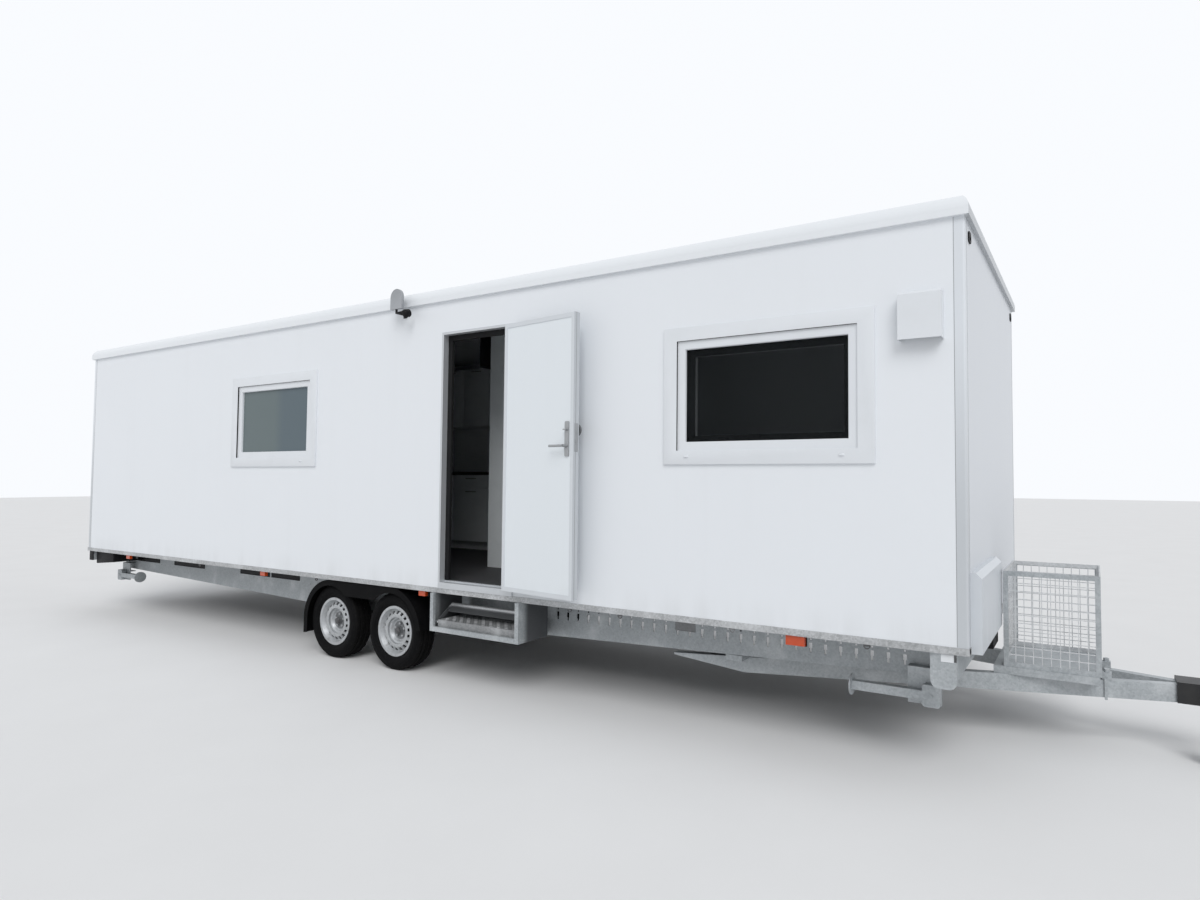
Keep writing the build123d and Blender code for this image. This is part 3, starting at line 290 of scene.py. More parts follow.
def fit(piece, material, body):
    """Gives a finished piece its material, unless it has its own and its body."""
    if not piece.data.materials:
        piece.data.materials.append(material)
    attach(piece, body)


def repeat(piece, number, turn):
    """Copies a piece, with its own mesh, moved by a matrix."""
    twin = piece.copy()
    twin.data = piece.data.copy()
    twin.name = f"{piece.name}_{number}"
    bpy.context.collection.objects.link(twin)
    twin.data.transform(turn)
    return twin


def along(distance):
    """Gives a shift along the cabin."""
    return Matrix.Translation((distance, 0, 0))


first_end = 0.542
eye_x = front_x - first_end
bpy.ops.object.select_all(action="DESELECT")
bpy.ops.mesh.primitive_torus_add(location=(eye_x, near_y + 0.006, rail_foot - 0.008),
                                 rotation=(math.pi / 2, 0, 0), major_radius=0.017, minor_radius=0.0036,
                                 major_segments=24, minor_segments=8)
settle()
ring = bpy.context.object
bpy.ops.object.shade_smooth()
tab = slab("tab", (eye_x - 0.013, near_y + 0.001, rail_foot - 0.012),
           (eye_x + 0.013, near_y + 0.012, rail_foot))
soften(tab, 0.002)
tie_eye = weld("tie_eye", ring, tab)
dull_steel = zinc("dull_steel", (0.045, 0.045, 0.047), (0.16, 0.16, 0.165), 0.55)
fit(tie_eye, dull_steel, "cabin")
for number, from_end in enumerate((1.383, 2.231, 2.664, 5.6, 7.6, 8.95), 1):
    fit(repeat(tie_eye, number, along(first_end - from_end)), dull_steel, "cabin")
across = Matrix.Translation((0, far_y + near_y, 0)) @ Matrix.Rotation(math.pi, 4, "Z")
for number, from_end in enumerate((first_end, 2.231, 5.6, 8.95), 7):
    turn = along(2 * front_x - from_end - first_end) @ across
    fit(repeat(tie_eye, number, turn), dull_steel, "cabin")


# A small blank plate of grey zinc is fixed flat on the near beam's web, just under the rail.
# The cheek plate at the front corner carries a pale enamelled one, with a narrow dark block beside it.
def pick(test):
    """Selects, in edit mode, the faces whose centre and normal pass a test."""
    bpy.ops.mesh.select_mode(type="FACE")
    bpy.ops.mesh.select_all(action="DESELECT")
    edited = bmesh.from_edit_mesh(bpy.context.object.data)
    for face in edited.faces:
        face.select_set(test(face.calc_center_median(), face.normal))
    bmesh.update_edit_mesh(bpy.context.object.data)


def shape(*steps):
    """Runs steps in edit mode: each is a face test or an operator with its settings."""
    bpy.ops.object.mode_set(mode="EDIT")
    for step in steps:
        if callable(step):
            pick(step)
        else:
            step[0](**step[1])
    bpy.ops.object.mode_set(mode="OBJECT")


def near_faces(at, out):
    """Tests for faces that look out on the door side."""
    return out.y < -0.5


def bordered(thickness, **settings):
    """Gives an inset of the picked faces by a border."""
    return bpy.ops.mesh.inset, {"thickness": thickness, **settings}


def pushed(x=0.0, y=0.0, z=0.0):
    """Gives an extrusion of the picked faces by a distance."""
    return bpy.ops.mesh.extrude_region_move, {"TRANSFORM_OT_translate": {"value": (x, y, z)}}


web_y = near_y + 0.350
label_plate = slab("label_plate", (front_x - 1.996, web_y - 0.003, rail_foot - 0.142),
                   (front_x - 1.835, web_y + 0.001, rail_foot - 0.009))
shape(near_faces, bordered(0.006), pushed(y=0.001))
soften(label_plate, 0.0008, 1)
plate_grey = zinc("plate_grey", (0.17, 0.175, 0.18), (0.24, 0.245, 0.25), 0.4)
fit(label_plate, plate_grey, "cabin")


def enamel(name, colour, worn, rough):
    """Smooth paint with faint clouding and a few scuffs."""
    made, shader, place = finish(name)
    cloud = place.node("ShaderNodeTexNoise", {"Vector": place, "Scale": 7.0, "Detail": 6.0})
    scuff = place.node("ShaderNodeTexNoise", {"Vector": place, "Scale": 70.0, "Detail": 4.0})
    wear = cloud.between(0.45, 0.8) * 0.5 + scuff.between(0.66, 0.76) * 0.4
    bump = scuff.node("ShaderNodeBump", {"Height": scuff, "Strength": 0.04, "Distance": 0.0005})
    feed(shader, Base_Color=wear.blend(colour, worn), Roughness=wear.blend(rough, rough + 0.2), Normal=bump)
    return made


cheek_y = near_y + 0.012
pale_plate = slab("pale_plate", (front_x - 0.144, cheek_y - 0.003, rail_foot - 0.045),
                  (front_x - 0.078, cheek_y + 0.001, rail_foot - 0.004))
shape(near_faces, bordered(0.004), pushed(y=0.0008))
soften(pale_plate, 0.0008, 1)
pale_enamel = enamel("pale_enamel", (0.72, 0.74, 0.76), (0.55, 0.56, 0.57), 0.4)
fit(pale_plate, pale_enamel, "cabin")
slot_block = slab("slot_block", (front_x - 0.077, cheek_y - 0.002, rail_foot - 0.043),
                  (front_x - 0.0635, cheek_y + 0.001, rail_foot - 0.003))
soften(slot_block, 0.0012, 1)
fit(slot_block, dull_steel, "cabin")


# Walls, end walls and roof are pale coated sheets on a foam core, which lie smooth, clean and dead flat.
# The folded corner posts and the end cover have a slightly greyer coat than the sheets between them, and the
# posts carry painted shade that darkens them lower down.
def coated_sheet(name, pale, grimy, gloss, seams=0.0):
    """A pale sheet with fine orange peel, the faintest unevenness, and road dust just above its foot."""
    made, shader, place = finish(name)
    x, _, height = split(place)
    upright = place.node("ShaderNodeMapping", {"Vector": place, "Scale": (9, 9, 0.5)})
    streaks = place.node("ShaderNodeTexNoise", {"Vector": upright, "Scale": 1.0, "Detail": 5.0})
    cloud = place.node("ShaderNodeTexNoise", {"Vector": place, "Scale": 0.6, "Detail": 4.0})
    peel = place.node("ShaderNodeTexNoise", {"Vector": place, "Scale": 260.0, "Detail": 2.0})
    low = height.between(0.95, 0.74)
    dirt = streaks.between(0.5, 0.85) * 0.03 + low * streaks.between(0.3, 0.7) * 0.16
    dirt = dirt + cloud.between(0.4, 0.8) * 0.04
    relief = peel * 0.03
    if seams:
        share = (x * (1 / seams)).math("FRACT")
        joint = share.between(0.0, 0.006) * share.between(1.0, 0.994)
        relief = relief + joint
        dirt = dirt + (1 - joint) * 0.5
    bump = relief.node("ShaderNodeBump", {"Height": relief, "Strength": 0.6, "Distance": 0.0012})
    feed(shader, Base_Color=dirt.blend(pale, grimy), Roughness=dirt.blend(gloss, gloss + 0.25), Normal=bump)
    return made


rear_x = -5.893
wall_sheet = coated_sheet("wall_sheet", (0.785, 0.81, 0.84), (0.50, 0.51, 0.51), 0.42)
paint(wall_sheet, "near_wall_rear", "near_wall_front", "near_wall_over_door", "far_wall")
paint(coated_sheet("end_sheet", (0.66, 0.685, 0.72), (0.46, 0.47, 0.47), 0.42), "rear_wall", "drawbar_wall")
paint(coated_sheet("roof_sheet", (0.66, 0.69, 0.72), (0.40, 0.41, 0.41), 0.45, 1.15), "roof_panel")
shaded_folded_post = coated_sheet("shaded_folded_post", (0.66, 0.69, 0.73), (0.42, 0.43, 0.43), 0.38)
shader, place, _ = reopen(shaded_folded_post)
_, _, z = split(place)
# Painted shade: the posts' coat runs darker from 2.6 m down to 1.2 m.
feed(shader, Base_Color=z.between(1.2, 2.6).blend((0.53, 0.555, 0.58), (0.70, 0.73, 0.765)))
paint(shaded_folded_post, "corner_posts")
paint(coated_sheet("folded_trim", (0.785, 0.81, 0.835), (0.50, 0.51, 0.51), 0.34), "side_fascias")
# Painted shade: the end fascias' coat is much darker than the walls', because they face slightly down.
paint(coated_sheet("shaded_end_trim", (0.47, 0.49, 0.51), (0.40, 0.41, 0.41), 0.34), "end_fascias")
paint(coated_sheet("cover_sheet", (0.60, 0.63, 0.665), (0.44, 0.45, 0.45), 0.36), "end_locker")


# Corner joints: a bead of grey mastic closes the gap between each folded post and the wall beside it.
# It runs the whole height of the wall and stands just proud of the sheets.
post_width = 0.058
bead_half = 0.0016
bead_depth = 0.003
bead_proud = 0.0008
wall_foot = 0.752
wall_head = 3.058
joints = []
for end_x, inward in ((front_x, -1), (rear_x, 1)):
    for wall_y, outward in ((near_y, -1), (far_y, 1)):
        seam_x = end_x + inward * post_width
        faces = sorted((wall_y - outward * bead_depth, wall_y + outward * bead_proud))
        joints.append(slab("joint", (seam_x - bead_half, faces[0], wall_foot),
                           (seam_x + bead_half, faces[1], wall_head)))
        seam_y = wall_y - outward * post_width
        faces = sorted((end_x + inward * bead_depth, end_x - inward * bead_proud))
        joints.append(slab("joint", (faces[0], seam_y - bead_half, wall_foot),
                           (faces[1], seam_y + bead_half, wall_head)))
corner_joints = weld("corner_joints", *joints)
soften(corner_joints, 0.0004, 1)
grey_mastic, shader, place = finish("grey_mastic")
bead = place.node("ShaderNodeTexNoise", {"Vector": place, "Scale": 40.0, "Detail": 3.0})
feed(shader, Base_Color=bead.blend((0.26, 0.27, 0.28), (0.36, 0.37, 0.38)),
     Roughness=bead.blend(0.55, 0.75))
fit(corner_joints, grey_mastic, "cabin")


# Windows: white plastic frames, each pressed round its hole by a broad flange with a rounded edge.
# The sash sits back in the flange, with capped drain holes under it; the recess walls that face down or
# towards the drawbar are painted black as shade.
def moulded(name, colour, worn, rough, grain=0.0, scale=420.0, shine=0.5):
    """Moulded plastic or rubber with slight clouding and, where asked, a fine leather grain."""
    made, shader, place = finish(name)
    cloud = place.node("ShaderNodeTexNoise", {"Vector": place, "Scale": 5.0, "Detail": 6.0})
    skin = place.node("ShaderNodeTexNoise", {"Vector": place, "Scale": scale, "Detail": 3.0})
    bump = skin.node("ShaderNodeBump", {"Height": skin, "Strength": 0.06 + grain, "Distance": 0.0005})
    feed(shader, Base_Color=cloud.between(0.4, 0.8).blend(colour, worn),
         Roughness=cloud.blend(rough - 0.05, rough + 0.08), Normal=bump)
    shader.inputs["Specular IOR Level"].default_value = shine
    return made


white_plastic = moulded("white_plastic", (0.73, 0.755, 0.785), (0.71, 0.735, 0.76), 0.34)
black_rubber = moulded("black_rubber", (0.008, 0.008, 0.009), (0.014, 0.014, 0.014), 0.75, 0.2, shine=0.2)
paint(white_plastic, "vent_cowl")
window_z = rail_foot + 1.464
window_x = (front_x - 1.182, front_x - 6.338)
to_rear_room = along(window_x[1] - window_x[0])
sash_width, sash_height = 1.196, 0.716
flange_border = 0.09
inner_width, inner_height = 1.216, 0.714
removed = (bpy.ops.mesh.delete, {"type": "FACE"})


def scaled(x, y, z, **settings):
    """Gives a resize of the picked faces, about a point where one is given."""
    return bpy.ops.transform.resize, {"value": (x, y, z), **settings}


def far_faces(at, out):
    """Tests for faces that look away from the door side."""
    return out.y > 0.5


def sash_face(at, out):
    """Tests for the middle face on the outside of the front room's window."""
    return out.y < -0.5 and abs(at.x - window_x[0]) < 0.2 and abs(at.z - window_z) < 0.2


surround = slab("window_surround", (window_x[0] - 0.698, near_y - 0.016, window_z - 0.447),
                (window_x[0] + 0.698, near_y, window_z + 0.447))
shape(sash_face, bordered(flange_border))
shape(sash_face, scaled(sash_width / inner_width, 1, sash_height / inner_height,
                        center_override=(window_x[0], near_y, window_z - 0.003)),
      pushed(y=0.013), bordered(0.0015))
shape(sash_face, bordered(0.0525), pushed(y=0.004), bordered(0.003), pushed(y=0.017), removed,
      far_faces, removed)
surround.data.materials.append(white_plastic)
surround.data.materials.append(black_rubber)
# Painted shade: the recess walls that face down or towards the drawbar take the black rubber.
for face in surround.data.polygons:
    recess = near_y - 0.0155 < face.center.y < near_y - 0.0035 and abs(face.center.x - window_x[0]) < 0.62
    if recess and abs(face.center.z - window_z) < 0.4 and (face.normal.z < -0.5 or face.normal.x > 0.5):
        face.material_index = 1
soften(surround, 0.005, 3)
fit(surround, white_plastic, "cabin")
fit(repeat(surround, 1, to_rear_room), white_plastic, "cabin")
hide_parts("window_frames")

cap_z = rail_foot + 1.068
cap_end = 0.676
cap_x = front_x - cap_end
cap = slab("drain_cap", (cap_x - 0.018, near_y - 0.024, cap_z - 0.007),
           (cap_x + 0.018, near_y - 0.0155, cap_z + 0.007))
shape(near_faces, scaled(0.7, 1, 0.6, center_override=(cap_x, 0, cap_z - 0.003)))
soften(cap, 0.002)
fit(cap, white_plastic, "cabin")
for number, from_end in enumerate((1.709, 5.857), 1):
    fit(repeat(cap, number, along(cap_end - from_end)), white_plastic, "cabin")


def frame_of(name, low, high, border):
    """A flat frame in a wall: a block whose two large faces are inset and joined through."""
    piece = slab(name, low, high)
    middle = [(a + b) / 2 for a, b in zip(low, high)]

    def whole(at, out):
        """Tests for the two faces that lie at the middle of the block's front and back."""
        return abs(out.y) > 0.5 and abs(at.x - middle[0]) < 1e-4 and abs(at.z - middle[2]) < 1e-4

    shape(whole, bordered(border, use_individual=True))
    shape(whole, (bpy.ops.mesh.bridge_edge_loops, {}))
    return piece


inner_trim = frame_of("inner_trim", (window_x[0] - 0.60, near_y + 0.0605, window_z - 0.36),
                      (window_x[0] + 0.60, near_y + 0.090, window_z + 0.36), 0.10)
inner_trim.data.materials.append(black_rubber)
inner_trim.data.materials.append(white_plastic)
for face in inner_trim.data.polygons:
    face.material_index = int(face.normal.y > -0.5)
fit(inner_trim, white_plastic, "cabin")
fit(repeat(inner_trim, 1, to_rear_room), white_plastic, "cabin")


# Panes: dark tinted glass, glazed into the sashes from inside.
# The pane of the rear room has a pale film on its back, which hides the room.
tinted, shader, place = finish("tinted_pane")
film = place.node("ShaderNodeTexNoise", {"Vector": place, "Scale": 2.0, "Detail": 4.0})
x, _, _ = split(place)
rear_pane = x.between(0.0, -1.0)
dark_glass = film.blend((0.006, 0.007, 0.008), (0.014, 0.017, 0.018))
pale_film = x.between(-2.1, -1.9).blend((0.150, 0.185, 0.190), (0.125, 0.160, 0.180))
feed(shader, Base_Color=rear_pane.blend(dark_glass, pale_film), Roughness=film.blend(0.04, 0.09),
     Alpha=rear_pane.blend(0.45, 0.97))
shader.inputs["Specular IOR Level"].default_value = 0.08
paint(tinted, "window_panes")


# Door frame: drawn aluminium on the rail. A broad black seal lines its stops, and the leaf shuts on it.
# The leaf is a white coated sheet in white folded edging, on three aluminium hinges.
def anodised(name, dark, light, rough):
    """Anodised aluminium with fine drawing lines along Z."""
    made, shader, place = finish(name)
    drawn = place.node("ShaderNodeMapping", {"Vector": place, "Scale": (900, 900, 6)})
    lines = place.node("ShaderNodeTexNoise", {"Vector": drawn, "Scale": 1.0, "Detail": 2.0})
    cloud = place.node("ShaderNodeTexNoise", {"Vector": place, "Scale": 4.0, "Detail": 5.0})
    tone = lines * 0.4 + cloud * 0.6
    feed(shader, Base_Color=tone.blend(dark, light), Roughness=tone.blend(rough, rough + 0.15),
         Metallic=0.5)
    return made


aluminium = anodised("aluminium", (0.52, 0.54, 0.56), (0.66, 0.68, 0.70), 0.36)
paint(aluminium, "door_frame", "frame_hinges", "leaf_hinges")
leaf_sheet = coated_sheet("leaf_sheet", (0.765, 0.805, 0.835), (0.50, 0.50, 0.49), 0.42)
paint(leaf_sheet, "door_panel")
leaf_edging = coated_sheet("leaf_edging", (0.64, 0.67, 0.70), (0.46, 0.46, 0.46), 0.36)
shader, place, coat = reopen(leaf_edging)
x, y, _ = split(place)
groove = y.between(-1.3420, -1.3405) * y.between(-1.3360, -1.3375)
free_side = groove.blend((0.50, 0.525, 0.55), (0.28, 0.29, 0.30))
feed(shader, Base_Color=x.between(1.772, 1.775).blend(coat, free_side))
paint(leaf_edging, "door_edging")

rebate = (0.305, 1.055)
head_z = rail_foot + 2.075
sill_z = rail_foot + 0.098
lap = 0.0421
all_faces = (bpy.ops.mesh.select_all, {"action": "SELECT"})


def cut_under(height):
    """Gives a level cut that takes away all that is lower, and closes what is left."""
    return bpy.ops.mesh.bisect, {"plane_co": (0, 0, height), "plane_no": (0, 0, 1),
                                 "clear_inner": True, "use_fill": True}


stop_seal = frame_of("stop_seal", (rebate[0], near_y + 0.038, sill_z - 0.042),
                     (rebate[1], near_y + 0.0418, head_z), 0.043)
stop_lining = frame_of("stop_lining", (rebate[0] + lap, near_y + 0.039, sill_z - 0.05),
                       (rebate[1] - lap, near_y + 0.061, head_z - lap), 0.0018)
door_seal = weld("door_seal", stop_seal, stop_lining)
shape(all_faces, cut_under(sill_z + 0.001))
soften(door_seal, 0.0006, 1)
fit(door_seal, black_rubber, "cabin")


# Lock: a mortice lock in the leaf's free edge shows its faceplate, latch and bolt.
# The lever, its long backplate and the turn above are satin metal, and the knob outside is dark grey.
def front_faces(at, out):
    """Tests for faces that look towards the drawbar."""
    return out.x > 0.5


satin_metal = anodised("satin_metal", (0.30, 0.31, 0.32), (0.43, 0.44, 0.45), 0.28)
paint(satin_metal, "door_lever", "door_backplate")
paint(anodised("grey_metal", (0.10, 0.105, 0.11), (0.19, 0.195, 0.20), 0.34), "door_knob")
free_edge = 0.740
lock_face = slab("lock_face", (free_edge - 0.001, -0.053, 1.815), (free_edge + 0.0022, -0.021, 2.010))
soften(lock_face, 0.0012)
latch = slab("latch", (free_edge, -0.043, 1.868), (free_edge + 0.0048, -0.031, 1.892))
shape(front_faces, scaled(1, 0.5, 0.9, center_override=(free_edge, -0.043, 1.88)))
bolt = slab("bolt", (free_edge, -0.042, 1.935), (free_edge + 0.0034, -0.032, 1.968))
soften(bolt, 0.001)
lock = weld("mortice_lock", lock_face, latch, bolt)
lock.rotation_euler = (0, 0, math.radians(-7))
lock.location = (1.050, -1.206, 0)
settle()
fit(lock, satin_metal, "door")


# Lifting points: black mouldings at the corners of the roof.
# Their plastic has a fine grain and hardly shines, as on all the black boxes of this cabin.
black_plastic = moulded("black_plastic", (0.007, 0.007, 0.008), (0.014, 0.014, 0.015), 0.5, 0.25,
                        shine=0.15)
paint(black_plastic, "lifting_points")


# Lamp at the eaves: a flat grey head with a round top, on a black arm that is screwed to the wall.
# The black eye of its movement sensor hangs from the same arm, turned down to the door.
def round_bar(name, place, radius, depth, sides, turn=(math.pi / 2, 0, 0)):
    """Starts a piece as a short bar, along Y unless it is turned, with its place in its mesh."""
    bpy.ops.object.select_all(action="DESELECT")
    bpy.ops.mesh.primitive_cylinder_add(vertices=sides, radius=radius, depth=depth,
                                        location=place, rotation=turn)
    settle()
    bpy.context.object.name = name
    return bpy.context.object


def flat_near_faces(at, out):
    """Tests for faces that look straight out on the door side."""
    return out.y < -0.9


head_x = -0.170
head_y = near_y - 0.092
head_foot = 3.030
head_radius = 0.071
head_middle = 3.200 - head_radius
lamp_head = round_bar("lamp_head", (head_x, head_y, head_middle), head_radius, 0.022, 48)
shape(all_faces, cut_under(head_middle), lambda at, out: out.z < -0.9, pushed(z=head_foot - head_middle),
      flat_near_faces, (bpy.ops.mesh.dissolve_faces, {}))
shape(flat_near_faces, bordered(0.006), pushed(y=0.0015))
soften(lamp_head, 0.003)
lamp_grey = moulded("lamp_grey", (0.34, 0.355, 0.375), (0.29, 0.305, 0.32), 0.38, 0.05)
fit(lamp_head, lamp_grey, "cabin")
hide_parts("eave_lamp")
arm_parts = [slab("arm", (head_x - 0.026, near_y - 0.008, 2.972), (head_x + 0.018, near_y, 3.034)),
             slab("arm", (head_x - 0.012, near_y - 0.098, 2.992), (head_x + 0.004, near_y - 0.006, 3.008)),
             slab("arm", (head_x - 0.012, near_y - 0.100, 3.006), (head_x + 0.004, near_y - 0.086, 3.036)),
             slab("arm", (head_x - 0.012, near_y - 0.100, 2.992), (head_x + 0.100, near_y - 0.086, 3.008))]
sensor = round_bar("sensor", (head_x + 0.124, near_y - 0.094, 2.984), 0.033, 0.044, 32,
                   (math.radians(105), 0, 0))
shape(flat_near_faces, bordered(0.005), pushed(y=-0.010, z=-0.0025), scaled(0.8, 1, 0.8))
for part in arm_parts:
    soften(part, 0.003)
soften(sensor, 0.003)
fit(weld("lamp_arm", *arm_parts, sensor), black_plastic, "cabin")


# Kitchen on the far wall, in white laminate: doors with bevelled edges stand 3 mm apart on the units.
# A dark worktop lies on the base units, and dark sheet covers the floor.
laminate = moulded("laminate", (0.68, 0.71, 0.72), (0.62, 0.65, 0.66), 0.45)
paint(laminate, "partition", "kitchen_base", "kitchen_wall_unit")
dark_top = moulded("dark_top", (0.05, 0.045, 0.04), (0.08, 0.075, 0.07), 0.4)
paint(dark_top, "kitchen_worktop")
sheet_floor = moulded("sheet_floor", (0.035, 0.035, 0.037), (0.05, 0.05, 0.052), 0.6, 0.2)
paint(sheet_floor, "floor_panel")
door_front = moulded("door_front", (0.80, 0.83, 0.85), (0.76, 0.79, 0.81), 0.35)
units = (-2.223, -0.523)
half_gap = 0.0015
door_thick = 0.017
grip_half = 0.08
for name, count, face_y, low_z, high_z in (("base_door", 3, 0.730, 0.900, 1.500),
                                           ("drawer", 3, 0.730, 1.503, 1.650),
                                           ("wall_door", 4, 0.990, 2.243, 2.937)):
    width = (units[1] - units[0]) / count
    leaf = slab(name, (units[0] + half_gap, face_y - door_thick, low_z),
                (units[0] + width - half_gap, face_y, high_z))
    shape(near_faces, bordered(0.004), pushed(y=-0.0015))
    soften(leaf, 0.0015)
    grip = slab("grip", (units[0] + width / 2 - grip_half, face_y - 0.030, high_z - 0.040),
                (units[0] + width / 2 + grip_half, face_y - door_thick, high_z - 0.030))
    soften(grip, 0.003)
    grip.data.materials.append(satin_metal)
    leaf.data.materials.append(door_front)
    front = weld(name, leaf, grip)
    fit(front, door_front, "cabin")
    for number in range(1, count):
        fit(repeat(front, number, along(number * width)), door_front, "cabin")


# Fuse box: a black plastic case with a recessed lid.
# It hangs by the partition, close under the roof.
fuse_box = slab("fuse_box", (-0.215, -0.300, 2.680), (-0.073, -0.150, 3.040))
shape(near_faces, bordered(0.012), pushed(y=0.006))
soften(fuse_box, 0.004)
fit(fuse_box, black_plastic, "cabin")


# Step box: a chequered tread with a folded edge stands on the fixed step, its bars pressed up in the sheet.
# Painted shade darkens the box's zinc behind its front edge, and the folding step's zinc is painted dark
# below a pale strip along its top.
# That step turns on two bolts with round heads.
def top_faces(at, out):
    """Tests for faces that look up."""
    return out.z > 0.5


shaded_box_zinc = zinc("shaded_box_zinc", (0.31, 0.335, 0.35), (0.50, 0.525, 0.54))
shader, place, coat = reopen(shaded_box_zinc)
_, y, _ = split(place)
# Painted shade: the box's zinc runs dark towards the inside, behind its front edge.
feed(shader, Base_Color=y.between(-1.175, -1.10).blend(coat, (0.09, 0.094, 0.10)))
paint(shaded_box_zinc, "step_box")
shaded_step_zinc = zinc("shaded_step_zinc", (0.50, 0.515, 0.525), (0.70, 0.71, 0.72), 0.42)
shader, place, coat = reopen(shaded_step_zinc)
_, _, z = split(place)
# Painted shade: the folding step's zinc is dark below 0.574 m and pale only on its top strip.
feed(shader, Base_Color=z.between(0.574, 0.592).blend((0.12, 0.125, 0.13), coat))
paint(shaded_step_zinc, "folding_step")
tread_plate = zinc("tread_plate", (0.19, 0.195, 0.20), (0.34, 0.345, 0.35), 0.5, 0.6)
paint(tread_plate, "fixed_tread")
step_x = (0.230, 1.167)
tread_top = 0.500
tray = slab("tread_tray", (step_x[0] + 0.062, near_y - 0.008, 0.4402),
            (step_x[1] - 0.062, near_y + 0.278, tread_top))
shape(top_faces, bordered(0.004), pushed(z=-0.0015))
soften(tray, 0.003)
bar = slab("bar", (-0.014, -0.0032, 0), (0.014, 0.0032, 0.003))
shape(top_faces, scaled(0.7, 0.5, 1))
bars = []
for row in range(7):
    for column in range(20):
        lean = Matrix.Rotation(math.radians(45 if (row + column) % 2 else -45), 4, "Z")
        spot = (step_x[0] + 0.090 + column * 0.0398, near_y + 0.020 + row * 0.040, tread_top - 0.0016)
        bars.append(repeat(bar, len(bars), Matrix.Translation(spot) @ lean))
bpy.data.objects.remove(bar)
tread = weld("tread", tray, *bars)
fit(tread, tread_plate, "cabin")
pivot = (near_y + 0.004, 0.480)
stud = round_bar("pivot_stud", (step_x[0] + 0.0545, *pivot), 0.011, 0.009, 20, (0, math.pi / 2, 0))
shape(front_faces, bordered(0.003), pushed(x=0.002))
soften(stud, 0.0015)
fit(stud, mesh_wire, "step")
turn = Matrix.Translation((step_x[0] + step_x[1], 2 * pivot[0], 0)) @ Matrix.Rotation(math.pi, 4, "Z")
fit(repeat(stud, 1, turn), mesh_wire, "step")


# Beam notches: black plastic plates close them on the outside of each web, as painted shade for the dark
# inside the notches.
# A black box under the rail at each rear corner is painted shade too, and one on the front beam shields the
# drawbar's wiring.
notches = ((6.400, 6.889), (6.923, 7.467), (8.193, 8.857), (9.200, 9.880))
for beam_number, (beam_y, inward) in enumerate(((web_y, 1), (far_y - 0.350, -1))):
    for number, (low_end, high_end) in enumerate(notches):
        # Painted shade: black plates where the notches show dark.
        deep = sorted((beam_y - inward * 0.005, beam_y + inward * 0.0005))
        cover = slab(f"notch_cover_{beam_number}{number}", (front_x - high_end, deep[0], rail_foot - 0.131),
                     (front_x - low_end, deep[1], rail_foot - 0.008))
        shape(lambda at, out: out.y * inward < -0.5, bordered(0.010), pushed(y=inward * 0.002))
        soften(cover, 0.002, 1)
        fit(cover, black_plastic, "cabin")
for number, (low_y, high_y, cap_y) in enumerate(((near_y + 0.040, near_y + 0.345, near_y + 0.006),
                                                 (far_y - 0.345, far_y - 0.040, far_y - 0.014))):
    # Painted shade: a black box under the rail at the rear corner.
    box = slab(f"lamp_box_{number}", (rear_x + 0.122, low_y, 0.557),
               (rear_x + 0.560, high_y, rail_foot - 0.001))
    shape(front_faces, scaled(1, 1, 0.75, center_override=(0, 0, rail_foot)))
    soften(box, 0.012, 3)
    fit(box, black_plastic, "cabin")
    end_cap = slab(f"beam_cap_{number}", (rear_x + 0.026, cap_y, 0.597),
                   (rear_x + 0.124, cap_y + 0.008, rail_foot - 0.001))
    soften(end_cap, 0.004)
    fit(end_cap, black_plastic, "cabin")
junction_box = slab("junction_box", (front_x - 0.062, -0.320, 0.575), (front_x + 0.020, -0.060, 0.672))
shape(front_faces, bordered(0.008), pushed(x=-0.003))
soften(junction_box, 0.008, 3)
fit(junction_box, black_plastic, "cabin")


# Axles and towing head are steel, brushed with black paint that is scuffed grey in places.
# The jockey wheel is moulded in solid black rubber.
black_paint = enamel("black_paint", (0.010, 0.010, 0.011), (0.035, 0.034, 0.032), 0.45)
paint(black_paint, "axles", "towing_head")
solid_rubber = moulded("solid_rubber", (0.010, 0.010, 0.010), (0.020, 0.020, 0.020), 0.8, 0.3, shine=0.2)
paint(solid_rubber, "jockey_wheel")


# Wheels: silver steel rims with five bolts and a domed cap, grimy in patches; the vents' pockets and the rim
# behind them are painted black as shade, and the hub's recess is painted darker.
# The road tyres have ribbed sidewalls and cuts across the tread; black plastic covers arch over them.
cover_plastic = moulded("cover_plastic", (0.004, 0.004, 0.0045), (0.008, 0.008, 0.008), 0.6, 0.25,
                        shine=0.06)
paint(cover_plastic, "mudguards")
wheel_x = {"front": -0.326, "rear": -1.144}
wheel_y = {"near": -1.0325, "far": 1.2225}
axle_z = 0.325
centre = (wheel_x["front"], wheel_y["near"], axle_z)
from_centre = Matrix.Translation([-part for part in centre])
first_bolt = round_bar("wheel_bolt", (centre[0], centre[1] - 0.021, axle_z + 0.056), 0.0125, 0.014, 6)
shape(near_faces, bordered(0.003), pushed(y=-0.003), scaled(0.7, 1, 0.7))
soften(first_bolt, 0.001, 1)
bolts = [first_bolt]
for number in range(1, 5):
    spin = Matrix.Translation(centre) @ Matrix.Rotation(math.radians(72 * number), 4, "Y")
    bolts.append(repeat(first_bolt, number, spin @ from_centre))
hub_cap = round_bar("hub_cap", (centre[0], centre[1] - 0.0412, axle_z), 0.0295, 0.010, 32)
shape(near_faces, bordered(0.006), pushed(y=-0.006),
      lambda at, out: out.y < -0.99 and at.y < centre[1] - 0.05, bordered(0.010), pushed(y=-0.003))
soften(hub_cap, 0.002)
vented = round_bar("vented_ring", (centre[0], centre[1] - 0.037, axle_z), 0.1735, 0.006, 108)


def around(at):
    """Gives a place's distance from the axis, and how many degrees it is into its vent's share of 20."""
    turn = math.degrees(math.atan2(at.z - axle_z, at.x - centre[0])) % 20
    return math.hypot(at.x - centre[0], at.z - axle_z), turn


